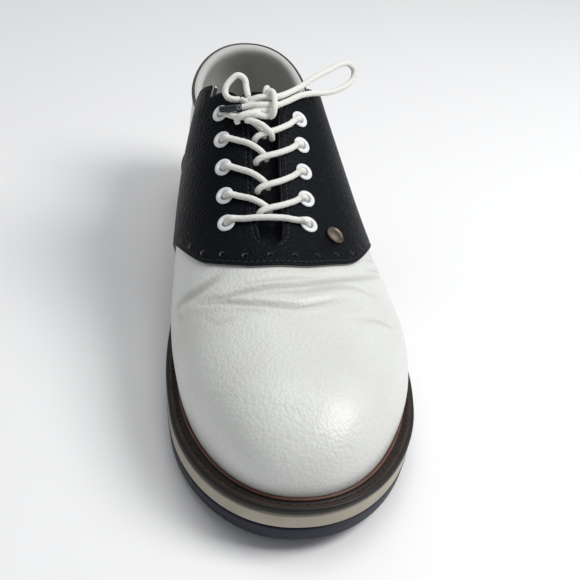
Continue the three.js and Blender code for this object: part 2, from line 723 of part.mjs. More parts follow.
// A lace run over the facings. forward: towards the toe, as a part of the way to where the strands cross;
// out: sideways from the lacing's middle, as a part of half the gauge; height: over the last.
const barRun = [
  { forward: 0, out: -1, height: overEyelet },
  { forward: 0.04, out: -0.7, height: overEyelet },
  { forward: 0.16, out: -0.4, height: overSaddle },
  { forward: 0.2, out: 0, height: overSaddle },
  { forward: 0.18, out: 0.38, height: overSaddle },
  { forward: 0.17, out: 0.65, height: overEyelet },
  { forward: 0.15, out: 0.93, height: overEyelet },
];
const innerRun = [
  { forward: 0, out: -1, height: overEyelet },
  { forward: 0.22, out: -0.74, height: overEyelet },
  { forward: 0.5, out: -0.45, height: overSaddle },
  { forward: 1.02, out: 0.02, height: overSaddle - 1.2 },
  { forward: 1.1, out: 0.12, height: 0.4 },
];
const outerRun = [
  { forward: 0.16, out: 0.93, height: overEyelet },
  { forward: 0.46, out: 0.66, height: overEyelet },
  { forward: 0.76, out: 0.42, height: overSaddle },
  { forward: 1.06, out: 0, height: overSaddle - 1.2 },
  { forward: 1.2, out: -0.24, height: 0.4 },
];
const run = (list, row, reach) =>
  list.map(({ forward, out, height }) => over(rowShare(row) + forward * reach * rowPitch, out * gauge, height));
add("lace_bar", cord(run(barRun, 0, 1), 8), "whiteCord");

// Each crossing: two strands from a pair of eyelets, over the facings and down into the throat. reach:
// how far forward they cross, of the pitch between rows.
const crossings = [
  { row: 1, reach: 0.8 },
  { row: 2, reach: 0.95 },
  { row: 3, reach: 0.97 },
  { row: 4, reach: 1.15 },
];
for (const { row, reach } of crossings)
  add(`lace_crossing_${row}`, cord(run(innerRun, row, reach), 6).add(cord(run(outerRun, row, reach), 6)), "whiteCord");

// The bow: a knot on the tongue between the highest eyelets, two loops, and two ends with their tips
const points = (list) => list.map((p) => new THREE.Vector3(...p));
const innerLoop = points([
  [-16.8, 21.5, 111.1],
  [-17.3, 23, 112.8],
  [-17.7, 26, 114.6],
  [-18.2, 28, 116.8],
  [-20.1, 29, 118.3],
  [-22.2, 29, 118.4],
  [-24.7, 28, 116.6],
  [-26.9, 26, 114.2],
  [-27.3, 24, 111.9],
  [-26.2, 22.3, 110.5],
  [-23.6, 21.4, 110],
  [-20.4, 21.6, 110],
]);
const outerLoop = points([
  [-2.5, 22, 112],
  [1.7, 27, 111.2],
  [8.8, 34, 111.6],
  [15.2, 40, 113.3],
  [24.1, 48, 114.5],
  [31, 54, 115.4],
  [35.8, 58, 114.4],
  [39.4, 59, 110.9],
  [39, 56.5, 107.4],
  [34.8, 52, 105.4],
  [28.9, 46.5, 105],
  [22, 41, 105.9],
  [15.1, 35.5, 107.9],
  [8.3, 29.5, 109.2],
  [1.9, 24, 108.7],
  [-2.4, 20.4, 108.6],
]);
const innerEnd = points([
  [-14.8, 15.4, 110.4],
  [-16.8, 15.1, 110.1],
  [-19.2, 15, 109.4],
]);
const innerTip = points([
  [-19.6, 15, 109.3],
  [-25, 15.9, 108],
  [-30.6, 17, 106.7],
]);
const outerEnd = points([
  [-8.5, 24.4, 110.3],
  [-7.8, 30.6, 110.9],
  [-6.3, 37.4, 109],
  [-5.2, 42.1, 104.6],
  [-4.8, 44.1, 98.6],
  [-4.8, 44.4, 93],
]);
const outerTip = points([
  [-4.8, 44.4, 92.6],
  [-4.8, 44.2, 86],
  [-5, 43.8, 79.6],
]);
const bow = { innerLoop, outerLoop, innerEnd, outerEnd };
const knotMiddle = new THREE.Vector3(-10.2, 19, 109.1);
const knotSize = new THREE.Vector3(6.6, 5.7, 4.8);
const knotPlace = new THREE.Matrix4().compose(knotMiddle, new THREE.Quaternion(), knotSize);
let knot = fromGeometry(new THREE.SphereGeometry(1, 16, 10), knotPlace);
const past = (end, from) => end.clone().add(end.clone().sub(from).setLength(2 * gap));
for (const path of Object.values(bow)) {
  const long = [past(path[0], path[1]), ...path, past(path.at(-1), path.at(-2))];
  knot = knot.subtract(cord(long, 3 * path.length, laceRadius + gap));
}
add("lace_knot", knot, "whiteCord");
const tipRadius = laceRadius - 0.1;
add("lace_loop_inner", cord(innerLoop, 11), "whiteCord");
add("lace_loop_outer", cord(outerLoop, 16), "whiteCord");
add("lace_end_inner", cord(innerEnd, 3), "whiteCord");
add("lace_tip_inner", cord(innerTip, 2, tipRadius), "navyAglet");
add("lace_end_outer", cord(outerEnd, 6), "whiteCord");
add("lace_tip_outer", cord(outerTip, 2, tipRadius), "navyAglet");

export default shoe;
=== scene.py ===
# The looks of a golf saddle shoe: leather, creases, perforations, stitches, eyelets, laces, bow and sole.
import math
import bpy
import bmesh
import numpy as np
from mathutils import Matrix, Vector


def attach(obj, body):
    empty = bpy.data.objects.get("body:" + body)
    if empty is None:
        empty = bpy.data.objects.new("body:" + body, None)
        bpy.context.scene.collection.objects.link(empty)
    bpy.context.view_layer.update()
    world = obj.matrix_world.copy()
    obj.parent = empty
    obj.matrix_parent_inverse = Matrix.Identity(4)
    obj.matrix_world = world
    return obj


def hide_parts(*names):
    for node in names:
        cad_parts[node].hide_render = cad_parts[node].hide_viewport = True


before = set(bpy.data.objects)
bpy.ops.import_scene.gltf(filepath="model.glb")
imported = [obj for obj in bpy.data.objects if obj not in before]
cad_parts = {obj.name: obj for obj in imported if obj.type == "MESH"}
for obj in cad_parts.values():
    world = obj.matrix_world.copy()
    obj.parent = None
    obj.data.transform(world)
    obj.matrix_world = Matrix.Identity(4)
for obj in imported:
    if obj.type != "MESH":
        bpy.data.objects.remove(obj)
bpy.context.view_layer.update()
mm = 0.001
print("frame loaded")

# The last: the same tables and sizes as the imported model, in millimetres
last = {
    "length": 292.0, "ballWidth": 97.0, "instepHeight": 95.5, "heelStack": 31.0, "foreStack": 18.5,
    "toeSpring": 6.0, "archLift": 6.0, "gap": 0.3, "collarHeight": 93.5, "lateralDrop": 3.0, "midRaise": 7.0,
    "throatHalf": 6.2, "laceLine": -10.0, "weltReach": 6.3,
}
heelRound, toeRound, toeBox = (46.0, 2.15), (64.0, 2.15), (36.0, 2.2)  # length, power
heelCurve = {"bulge": 4.5, "lean": 11.0, "tall": 62.0, "reach": 45.0}
toeBulge = {"out": 2.0, "tall": 30.0, "reach": 30.0}

# at, half, swing, ridge, crown, wall, full, flare, reach
sections = np.array([
    (0.0, 0.338, -0.054, -0.052, 1.173, 0.64, 0.68, 0.02, 0.55),
    (0.12, 0.343, -0.059, -0.052, 1.173, 0.62, 0.66, 0.0, 0.55),
    (0.26, 0.345, -0.052, -0.078, 1.112, 0.6, 0.64, 0.05, 0.55),
    (0.38, 0.366, -0.036, -0.118, 0.945, 0.57, 0.64, 0.22, 0.6),
    (0.5, 0.418, -0.021, -0.122, 0.772, 0.5, 0.53, 0.25, 0.75),
    (0.61, 0.474, -0.005, -0.105, 0.604, 0.5, 0.5, 0.21, 0.93),
    (0.71, 0.5, 0.0, -0.08, 0.516, 0.54, 0.54, 0.17, 1.0),
    (0.81, 0.477, -0.013, -0.067, 0.44, 0.62, 0.58, 0.12, 1.0),
    (0.91, 0.436, -0.034, -0.05, 0.382, 0.7, 0.6, 0.08, 1.0),
    (1.0, 0.41, -0.054, -0.052, 0.346, 0.72, 0.6, 0.06, 1.0),
])
# at, heel, toe, mid
soleProfile = np.array([
    (0.0, 1.0, 0.0, 1.0), (0.15, 0.88, 0.0, 0.9), (0.3, 0.64, 0.0, 0.6), (0.45, 0.32, 0.0, 0.22),
    (0.6, 0.08, 0.0, 0.0), (0.75, 0.0, 0.0, 0.0), (0.88, 0.0, 0.22, 0.0), (1.0, 0.0, 1.0, 0.0),
])
# at, arch, spring
underside = np.array([
    (0.0, 0.0, 0.0), (0.265, 0.0, 0.0), (0.285, 1.0, 0.0), (0.4, 0.8, 0.0),
    (0.55, 0.0, 0.0), (0.8, 0.0, 0.0), (0.9, 0.0, 0.38), (1.0, 0.0, 1.0),
])
topline = np.array([
    (-0.041, 1.01), (0.027, 0.985), (0.086, 0.89), (0.144, 0.82), (0.188, 0.813),
    (0.226, 0.845), (0.267, 0.93), (0.315, 1.048), (0.36, 1.144), (0.39, 1.198),
])
# at, half width, floor
throat = np.array([
    (0.36, 5.2, 0.87), (0.374, 4.2, 0.86), (0.381, 3.3, 0.85), (0.392, 2.35, 0.82), (0.41, 1.65, 0.75),
    (0.44, 1.25, 0.62), (0.5, 1.05, 0.62), (0.62, 0.95, 0.62), (0.64, 0.82, 0.62), (0.651, 0.5, 0.62),
    (0.656, 0.12, 0.62),
])
# round, front, back
saddleEdges = np.array([
    (0.0, 0.694, 0.3), (0.15, 0.69, 0.3), (0.3, 0.67, 0.305), (0.4, 0.65, 0.31),
    (0.5, 0.615, 0.31), (0.65, 0.555, 0.285), (0.8, 0.505, 0.245), (1.0, 0.475, 0.2),
])


def naturalSpline(x, y):
    x, y = np.asarray(x, float), np.asarray(y, float)
    n, h = len(x), np.diff(x)
    system, right = np.eye(n), np.zeros(n)
    for i in range(1, n - 1):
        system[i, i - 1 : i + 2] = h[i - 1], 2 * (h[i - 1] + h[i]), h[i]
        right[i] = 6 * ((y[i + 1] - y[i]) / h[i] - (y[i] - y[i - 1]) / h[i - 1])
    bend = np.linalg.solve(system, right)
    slope0 = (y[1] - y[0]) / h[0] - bend[1] * h[0] / 6
    slope1 = (y[-1] - y[-2]) / h[-1] + bend[-2] * h[-1] / 6

    def value(v):
        v = np.asarray(v, float)
        i = np.clip(np.searchsorted(x, v) - 1, 0, n - 2)
        a, b = (x[i + 1] - v) / h[i], (v - x[i]) / h[i]
        inside = a * y[i] + b * y[i + 1] + ((a**3 - a) * bend[i] + (b**3 - b) * bend[i + 1]) * h[i] ** 2 / 6
        return np.where(
            v < x[0], y[0] + (v - x[0]) * slope0, np.where(v > x[-1], y[-1] + (v - x[-1]) * slope1, inside)
        )

    return value


def straightLines(x, y):
    def value(v):
        v = np.asarray(v, float)
        i = np.clip(np.searchsorted(x, v) - 1, 0, len(x) - 2)
        return y[i] + (v - x[i]) * (y[i + 1] - y[i]) / (x[i + 1] - x[i])

    return value


def smoothStep(v):
    v = np.clip(v, 0, 1)
    return v * v * (3 - 2 * v)


def closing(d, end):
    return (1 - np.clip(1 - d / end[0], 0, 1) ** end[1]) ** (1 / end[1])


half, swing, ridge, crown, wallShare, fullShare, flare, reach = (
    naturalSpline(sections[:, 0], sections[:, k + 1] * scale)
    for k, scale in enumerate([last["ballWidth"]] * 3 + [last["instepHeight"], 1, 1, 1, last["weltReach"]])
)
heelPart = naturalSpline(soleProfile[:, 0], soleProfile[:, 1] * (last["heelStack"] - last["foreStack"]))
toePart = naturalSpline(soleProfile[:, 0], soleProfile[:, 2] * last["toeSpring"])
midExtra = naturalSpline(soleProfile[:, 0], soleProfile[:, 3] * last["midRaise"])
archPart = straightLines(underside[:, 0], underside[:, 1] * last["archLift"])
springPart = straightLines(underside[:, 0], underside[:, 2] * last["toeSpring"])
toplineRise = naturalSpline(topline[:, 0], topline[:, 1] * last["collarHeight"])
saddleFront = naturalSpline(saddleEdges[:, 0], saddleEdges[:, 1])
saddleBack = naturalSpline(saddleEdges[:, 0], saddleEdges[:, 2])

soleLength = last["length"] + float(reach(0)) + float(reach(1))
heelY = soleLength / 2 - float(reach(0))


def yAt(share):
    return heelY - share * last["length"]


def shareAt(y):
    return (heelY - y) / last["length"]


def feather(share):
    return last["foreStack"] + heelPart(share) + toePart(share)


def ground(share):
    return archPart(share) + springPart(share)


def toplineAt(share, x):
    ankle = np.exp(-(((share - 0.19) / 0.12) ** 2))
    return toplineRise(share) - last["lateralDrop"] * ankle * np.clip(x / 30, -1, 1) / 2


def lastPoint(share, around):
    share, around = np.broadcast_arrays(np.asarray(share, float), np.asarray(around, float))
    side, t = np.where(around < 0, -1.0, 1.0), 1 - np.abs(around)
    fromHeel, fromToe = share * last["length"], (1 - share) * last["length"]
    w = half(share) * closing(fromHeel, heelRound) * closing(fromToe, toeRound)
    h = crown(share) * closing(fromToe, toeBox)
    middle = swing(share)
    top = middle + (ridge(share) - middle) * closing(fromToe, toeRound)
    weights = [(1 - t) ** 3, 3 * t * (1 - t) ** 2, 3 * t * t * (1 - t), t**3]
    places = [
        middle + side * w, middle + side * w * (1 + 1.8 * flare(share)), top + side * fullShare(share) * w,
        top
    ]
    x = sum(b * p for b, p in zip(weights, places))
    z = sum(b * p for b, p in zip(weights, [0 * h, wallShare(share) * h, h, h]))
    up, out = z / heelCurve["tall"], np.clip(z / toeBulge["tall"], 0, 1)
    back = heelCurve["lean"] * up * up - 4 * heelCurve["bulge"] * up * (1 - up)
    shift = back * np.exp(-((fromHeel / heelCurve["reach"]) ** 2))
    shift = shift + 4 * toeBulge["out"] * out * (1 - out) * np.exp(-((fromToe / toeBulge["reach"]) ** 2))
    return np.stack([x, yAt(share) - shift, z + feather(share)], -1)


def unit(v):
    return v / np.maximum(np.linalg.norm(v, axis=-1, keepdims=True), 1e-12)


def normalAt(share, around):
    share, around = np.broadcast_arrays(np.asarray(share, float), np.asarray(around, float))
    s0, s1 = np.clip(share - 0.002, 0.0002, 0.9998), np.clip(share + 0.002, 0.0002, 0.9998)
    r0, r1 = np.maximum(-1, around - 0.004), np.minimum(1, around + 0.004)
    middle = np.clip(share, 0.0006, 0.9994)
    along = lastPoint(s1, around) - lastPoint(s0, around)
    across = lastPoint(middle, r1) - lastPoint(middle, r0)
    n = -unit(np.cross(across, along))
    ends = (share < 1e-6) | (share > 1 - 1e-6)
    n[..., 0] = np.where(ends, 0, n[..., 0])
    return unit(n)


def skin(share, around, height):
    return lastPoint(share, around) + normalAt(share, around) * np.asarray(height, float)[..., None]


def roundAtX(share, x):
    low, high = np.full(np.shape(share), -0.75), np.full(np.shape(share), 0.75)
    for _ in range(34):
        middle = (low + high) / 2
        less = lastPoint(share, middle)[..., 0] < x
        low, high = np.where(less, middle, low), np.where(less, high, middle)
    return (low + high) / 2


def rimRound(share, side, lower):
    share = np.asarray(share, float)
    low, high = np.zeros(share.shape), np.ones(share.shape)
    for _ in range(34):
        middle = (low + high) / 2
        p = lastPoint(share, side * middle)
        over = p[..., 2] > toplineAt(shareAt(p[..., 1]), p[..., 0]) - lower
        low, high = np.where(over, middle, low), np.where(over, high, middle)
    return side * (low + high) / 2


def floorRound(share, side, z):
    low, high = np.zeros(np.shape(share)), np.ones(np.shape(share))
    for _ in range(34):
        middle = (low + high) / 2
        over = lastPoint(share, side * middle)[..., 2] > z
        low, high = np.where(over, middle, low), np.where(over, high, middle)
    return side * (low + high) / 2


# The upper's free edge on each side: the collar from the heel to the facing's top, then the throat
throatEnd = 0.6575
edgeShares = np.arange(0, 1401) * 0.0005


def freeEdge(side):
    rim = rimRound(edgeShares, side, 0.0)
    inThroat = (edgeShares >= throat[0, 0]) & (edgeShares <= throat[-1, 0])
    wide = np.interp(edgeShares, throat[:, 0], throat[:, 1]) * last["throatHalf"]
    wide = np.where(inThroat, wide, 0)
    floor = feather(edgeShares) + crown(edgeShares) * np.interp(edgeShares, throat[:, 0], throat[:, 2])
    atWidth = roundAtX(edgeShares, last["laceLine"] + side * wide)
    limit = floorRound(edgeShares, side, floor)
    cut = np.minimum(atWidth, limit) if side > 0 else np.maximum(atWidth, limit)
    seam = roundAtX(edgeShares, np.full(edgeShares.shape, last["laceLine"]))
    cut = np.where(inThroat, cut, seam)
    edge = np.where(
        edgeShares < throat[0, 0], rim, np.maximum(rim, cut) if side > 0 else np.minimum(rim, cut)
    )
    weights = np.exp(-((np.arange(-24, 25) / 7.0) ** 2))
    padded = np.concatenate([np.full(24, edge[0]), edge, np.full(24, edge[-1])])
    soft = np.convolve(padded, weights / weights.sum(), "valid")
    blend = smoothStep((edgeShares - 0.02) / 0.02)
    return edge + (soft - edge) * blend


innerEdge, outerEdge = freeEdge(-1), freeEdge(1)
middleEdge = (innerEdge + outerEdge) / 2


def edgeAt(share, side):
    split = np.interp(share, edgeShares, outerEdge if side > 0 else innerEdge)
    joined = np.interp(share, edgeShares, middleEdge)
    return np.where(np.asarray(share) >= throatEnd, joined, split)


# Meshes
def meshPiece(name, points, faces, materials, faceSlots=None, smooth=True):
    mesh = bpy.data.meshes.new(name)
    mesh.from_pydata((np.asarray(points) * mm).tolist(), [], [list(map(int, f)) for f in faces])
    for material in materials:
        mesh.materials.append(material)
    if faceSlots is not None:
        mesh.polygons.foreach_set("material_index", np.asarray(faceSlots, np.int32))
    mesh.polygons.foreach_set("use_smooth", np.full(len(mesh.polygons), smooth))
    mesh.update()
    piece = bpy.data.objects.new(name, mesh)
    bpy.context.scene.collection.objects.link(piece)
    return piece


def tidyMesh(piece, weld=0.00003, sharp=None, outward=True):
    work = bmesh.new()
    work.from_mesh(piece.data)
    bmesh.ops.remove_doubles(work, verts=work.verts, dist=weld)
    loose = [f for f in work.faces if f.calc_area() < 1e-14]
    bmesh.ops.delete(work, geom=loose, context="FACES")
    bmesh.ops.dissolve_degenerate(work, edges=work.edges, dist=1e-7)
    if outward:
        bmesh.ops.recalc_face_normals(work, faces=work.faces)
    if sharp:
        for edge in work.edges:
            if len(edge.link_faces) == 2 and edge.calc_face_angle(0) > math.radians(sharp):
                edge.smooth = False
    work.to_mesh(piece.data)
    work.free()
    piece.data.update()


def gridQuads(rows, cols, start=0, closed=False):
    i, j = np.meshgrid(np.arange(rows - 1), np.arange(cols if closed else cols - 1), indexing="ij")
    a = start + i * cols + j
    b = start + i * cols + (j + 1) % cols
    return np.stack([a, b, b + cols, a + cols], -1).reshape(-1, 4)


def endCaps(count, sides):
    return [list(range(sides))[::-1], [(count - 1) * sides + k for k in range(sides)]]


def slabFaces(rows, cols, closedSides=False):
    size = rows * cols
    faces = [list(f) for f in gridQuads(rows, cols)] + [list(f)[::-1] for f in gridQuads(rows, cols, size)]
    for i in (0, rows - 1):
        for j in range(cols - 1):
            a, b = i * cols + j, i * cols + j + 1
            faces.append([a, b, b + size, a + size] if i else [b, a, a + size, b + size])
    for j in (0, cols - 1) if closedSides else ():
        for i in range(rows - 1):
            a, b = i * cols + j, (i + 1) * cols + j
            faces.append([b, a, a + size, b + size] if j else [a, b, b + size, a + size])
    return faces


def giveFloats(piece, name, values):
    piece.data.attributes.new(name, "FLOAT", "POINT").data.foreach_set("value", values.astype(np.float32))


def apply(piece):
    bpy.context.view_layer.update()
    done = bpy.data.meshes.new_from_object(piece.evaluated_get(bpy.context.evaluated_depsgraph_get()))
    piece.modifiers.clear()
    old = piece.data
    piece.data = done
    done.name = piece.name
    bpy.data.meshes.remove(old)


def carve(piece, cutter):
    cut = piece.modifiers.new("holes", "BOOLEAN")
    cut.operation, cut.solver, cut.object, cut.material_mode = "DIFFERENCE", "EXACT", cutter, "TRANSFER"
    apply(piece)


def finishPiece(piece, slot, *nodes):
    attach(piece, "root")
    if nodes:
        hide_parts(*nodes)


# Shader maths
class Value:
    def __init__(self, shader, socket):
        self.shader, self.socket = shader, socket

    def maths(self, operation, first, second):
        return self.shader.node("ShaderNodeMath", {"operation": operation}, [first, second])

    def __add__(self, other):
        return self.maths("ADD", self, other)

    def __rsub__(self, other):
        return self.maths("SUBTRACT", other, self)

    def __mul__(self, other):
        return self.maths("MULTIPLY", self, other)

    __radd__, __rmul__ = __add__, __mul__


class Shader:
    def __init__(self, name, colour, roughness, **fixed):
        self.material = bpy.data.materials.new(name)
        self.material.use_nodes = True
        self.tree = self.material.node_tree
        self.surface = self.tree.nodes["Principled BSDF"]
        self.surface.inputs["Base Color"].default_value = (*colour, 1)
        self.surface.inputs["Roughness"].default_value = roughness
        for socket, value in fixed.items():
            self.surface.inputs[socket.replace("_", " ")].default_value = value
        self.material.diffuse_color = (*colour, 1)

    def link(self, value, socket):
        if isinstance(value, Value):
            self.tree.links.new(value.socket, socket)
        elif hasattr(value, "__len__") and socket.type == "RGBA":
            socket.default_value = (*value, 1)
        else:
            socket.default_value = value

    def node(self, kind, settings, values, out=0):
        made = self.tree.nodes.new(kind)
        for name, setting in settings.items():
            if name == "stops":
                while len(made.color_ramp.elements) < len(setting):
                    made.color_ramp.elements.new(0.5)
                for element, (place, shade) in zip(made.color_ramp.elements, setting):
                    element.position = place
                    element.color = (*shade, 1) if hasattr(shade, "__len__") else (shade, shade, shade, 1)
            else:
                setattr(made, name, setting)
        items = values.items() if isinstance(values, dict) else enumerate(values)
        for key, value in items:
            self.link(value, made.inputs[key])
        return Value(self, made.outputs[out])

    def place(self):
        return self.node("ShaderNodeTexCoord", {}, {}, "Object")

    def noise(self, place, scale, detail=3.0, rough=0.5, out="Fac"):
        return self.node(
            "ShaderNodeTexNoise", {},
            {"Vector": place, "Scale": scale, "Detail": detail, "Roughness": rough}, out
        )

    def cells(self, place, scale, feature="F1", spread=1.0, out="Distance"):
        return self.node(
            "ShaderNodeTexVoronoi", {"feature": feature},
            {"Vector": place, "Scale": scale, "Randomness": spread}, out
        )

    def ramp(self, value, stops):
        return self.node("ShaderNodeValToRGB", {"stops": stops}, [value])

    def mix(self, factor, first, second):
        return self.node("ShaderNodeMix", {"data_type": "RGBA"}, {0: factor, 6: first, 7: second}, 2)

    def scaled(self, value, amount):
        return self.node("ShaderNodeVectorMath", {"operation": "SCALE"}, {0: value, "Scale": amount})

    def attribute(self, name, out="Fac"):
        return self.node("ShaderNodeAttribute", {"attribute_name": name}, {}, out)

    def put(self, socket, value):
        self.tree.links.new(value.socket, self.surface.inputs[socket])

    def bump(self, height, strength, distance, under=None):
        values = {"Height": height, "Strength": strength, "Distance": distance * mm}
        if under is not None:
            values["Normal"] = under
        return self.node("ShaderNodeBump", {}, values)


# Finishes
def leatherGrain(shader, place, size, depth, wrinkle):
    bent = shader.node(
        "ShaderNodeVectorMath", {"operation": "ADD"},
        [place, shader.scaled(shader.noise(place, 300, 2, out="Color"), 0.0012)]
    )
    cell = shader.node(
        "ShaderNodeTexVoronoi", {"feature": "SMOOTH_F1"},
        {"Vector": bent, "Scale": 1000 / size, "Smoothness": 0.35, "Randomness": 1.0}
    )
    uneven = shader.ramp(shader.noise(place, 70, 3), [(0.3, 0.5), (0.7, 1.0)])
    height = (1 - cell * 1.2) * uneven + 0.5 * shader.noise(place, 1100, 3, 0.6) + wrinkle
    return cell, shader.bump(height, 1.0, depth)


def makeWhiteLeather():
    finish = {
        "colour": (0.72, 0.73, 0.705), "shade": (0.62, 0.622, 0.58), "paintedCreaseShade": (0.46, 0.46, 0.42),
        "speck": (0.34, 0.32, 0.27), "pebble": 1.5, "depth": 0.2
    }
    shader = Shader(
        "whiteLeather", finish["colour"], 0.36, Coat_Weight=0.3, Coat_Roughness=0.28, Specular_IOR_Level=0.5
    )
    place = shader.place()
    fold = shader.attribute("fold")
    ripples = shader.noise(
        shader.node("ShaderNodeVectorMath", {"operation": "MULTIPLY"}, [place, (0.3, 1.0, 1.0)]), 620, 4,
        0.6
    )
    cell, normal = leatherGrain(shader, place, finish["pebble"], finish["depth"], 3.0 * ripples * fold)
    patches = shader.ramp(shader.noise(place, 24, 4), [(0.4, 0.0), (0.72, 0.7)])
    base = shader.mix(patches, finish["colour"], finish["shade"])
    # painted shade: the hollows between the pebbles are mixed towards the darker shade tone
    base = shader.mix(shader.ramp(cell, [(0.4, 0.0), (0.8, 0.3)]), base, finish["shade"])
    # painted shade: the folds and the leather around them are darkened towards the crease shade colour
    base = shader.mix(shader.ramp(fold, [(0.3, 0.0), (0.8, 0.8)]), base, finish["paintedCreaseShade"])
    specks = shader.ramp(shader.noise(place, 230, 5, 0.62), [(0.71, 0.0), (0.78, 0.4)])
    shader.put("Base Color", shader.mix(specks, base, finish["speck"]))
    shader.put("Roughness", 0.3 + 0.18 * shader.noise(place, 60, 3) + 0.1 * cell)
    shader.put("Normal", normal)
    return shader.material


def makeNavyLeather():
    finish = {
        "colour": (0.0024, 0.0034, 0.0056), "worn": (0.012, 0.0145, 0.02), "pebble": 1.3, "depth": 0.4
    }
    shader = Shader("navyLeather", finish["colour"], 0.36, Specular_IOR_Level=0.08)
    place = shader.place()
    cell, normal = leatherGrain(shader, place, finish["pebble"], finish["depth"], 0.0)
    # painted highlight: the pebble tops are lightened in patches towards the worn tone, which also lightens
    # the really worn edges
    paintedPebbleHighlight = shader.ramp(cell, [(0.1, 0.5), (0.4, 0.0)]) * shader.ramp(
        shader.noise(place, 55, 3), [(0.45, 0.0), (0.75, 1.0)]
    )
    edge = shader.attribute("wear")
    shader.put(
        "Base Color", shader.mix(edge, shader.mix(paintedPebbleHighlight, finish["colour"], finish["worn"]), finish["worn"])
    )
    shader.put("Roughness", 0.26 + 0.2 * shader.noise(place, 45, 3) + 0.18 * cell)
    shader.put("Normal", normal)
    return shader.material


def makeCloth(name, colour, shade, thread, depth, roughness=0.85):
    shader = Shader(name, colour, roughness, Specular_IOR_Level=0.25)
    place = shader.place()
    weave = shader.cells(place, 1000 / thread, "F1", 0.35)
    soft = shader.noise(place, 40, 3)
    # painted shade: the weave's hollows are mixed towards the darker shade tone
    base = shader.mix(shader.ramp(weave, [(0.2, 0.0), (0.75, 0.8)]), colour, shade)
    shader.put("Base Color", shader.mix(shader.ramp(soft, [(0.4, 0.0), (0.75, 0.45)]), base, shade))
    shader.put("Normal", shader.bump((1 - weave) + 0.3 * shader.noise(place, 3000, 2), 0.9, depth))
    return shader.material


def makeRubber(name, colour, shade, roughness, depth=0.06):
    shader = Shader(name, colour, roughness, Specular_IOR_Level=0.4)
    place = shader.place()
    soft, fine = shader.noise(place, 35, 4), shader.noise(place, 900, 3)
    base = shader.mix(shader.ramp(soft, [(0.4, 0.0), (0.7, 0.7)]), colour, shade)
    scuffs = shader.ramp(shader.noise(place, 160, 6, 0.65), [(0.66, 0.0), (0.74, 0.6)])
    shader.put("Base Color", shader.mix(scuffs, base, shade))
    shader.put("Roughness", roughness - 0.08 + 0.16 * soft)
    shader.put("Normal", shader.bump(fine + 0.6 * soft, 0.6, depth))
    return shader.material


def makeWelt():
    finish = {"edge": (0.009, 0.007, 0.006), "top": (0.045, 0.028, 0.019), "groove": (0.012, 0.008, 0.006)}
    shader = Shader("brownWelt", finish["top"], 0.5, Specular_IOR_Level=0.35)
    place = shader.place()
    inset = shader.attribute("inset")
    tone = shader.ramp(
        inset,
        [
            (0.0, finish["edge"]), (0.2, finish["edge"]), (0.27, finish["top"]), (0.5, finish["top"]),
            (0.56, finish["groove"]), (0.72, finish["groove"]), (0.8, finish["top"])
        ]
    )
    soft = shader.noise(place, 120, 4)
    shader.put("Base Color", shader.mix(shader.ramp(soft, [(0.4, 0.0), (0.7, 0.5)]), tone, finish["edge"]))
    shader.put("Roughness", 0.4 + 0.25 * soft)
    shader.put("Normal", shader.bump(shader.noise(place, 700, 4), 0.7, 0.1))
    return shader.material


def makeCord():
    finish = {"colour": (0.8, 0.8, 0.76), "gap": (0.52, 0.51, 0.46)}
    shader = Shader("whiteCord", finish["colour"], 0.75, Specular_IOR_Level=0.3)
    place = shader.place()
    # painted shade: the grooves between the braid's strands are mixed towards the darker gap tone
    base = shader.mix(
        shader.ramp(shader.attribute("braid"), [(0.15, 0.75), (0.6, 0.0)]), finish["colour"], finish["gap"]
    )
    worn = shader.ramp(shader.noise(place, 60, 3), [(0.4, 0.0), (0.75, 0.35)])
    shader.put("Base Color", shader.mix(worn, base, (0.64, 0.63, 0.57)))
    shader.put("Normal", shader.bump(shader.noise(place, 4200, 3), 0.8, 0.08))
    return shader.material


def makePlain(name, colour, roughness, speck, **fixed):
    shader = Shader(name, colour, roughness, **fixed)
    place = shader.place()
    soft = shader.noise(place, 240, 4)
    shade = tuple(c * speck for c in colour)
    shader.put("Base Color", shader.mix(shader.ramp(soft, [(0.4, 0.0), (0.75, 0.8)]), colour, shade))
    shader.put("Roughness", roughness - 0.07 + 0.14 * shader.noise(place, 500, 3))
    shader.put("Normal", shader.bump(soft, 0.4, 0.05))
    return shader.material


whiteLeather, navyLeather = makeWhiteLeather(), makeNavyLeather()
liningCloth = makeCloth("greyLining", (0.6, 0.595, 0.575), (0.48, 0.475, 0.455), 0.75, 0.12)
footbedCloth = makeCloth("greyFootbed", (0.2, 0.2, 0.2), (0.1, 0.1, 0.1), 1.1, 0.16)
bindingLeather = makePlain("greyBinding", (0.05, 0.05, 0.053), 0.55, 0.55)
cutEdge = makePlain("cutEdge", (0.2, 0.197, 0.188), 0.75, 0.6)
brownWelt = makeWelt()
beadLeather = makePlain("redBrownBead", (0.13, 0.055, 0.035), 0.5, 0.5)
creamMidsole = makeRubber("creamMidsole", (0.44, 0.4, 0.325), (0.3, 0.265, 0.205), 0.6)
navyRubber = makeRubber("navyRubber", (0.0028, 0.0048, 0.018), (0.009, 0.0125, 0.026), 0.5)
enamel = makePlain("whiteEnamel", (0.8, 0.81, 0.82), 0.25, 0.85, Coat_Weight=0.3)
whiteCord = makeCord()
tipRim = makePlain("tipRim", (0.2, 0.215, 0.24), 0.35, 0.6)
aglet = makePlain("navyAglet", (0.004, 0.006, 0.016), 0.25, 0.7, Coat_Weight=0.4)
agedBronze = makePlain("agedBronze", (0.2, 0.168, 0.125), 0.44, 0.35, Metallic=1.0)
# painted shade: a near-black finish for hole bottoms, hole walls, the throat's inner edge and the faces under
# the saddle
paintedShadeBlack = makePlain("paintedShadeBlack", (0.006, 0.006, 0.008), 0.8, 0.6)
navyThread = makePlain("navyThread", (0.02, 0.022, 0.03), 0.6, 0.6)
brownThread = makePlain("brownThread", (0.02, 0.013, 0.01), 0.65, 0.5)
print("finishes made")


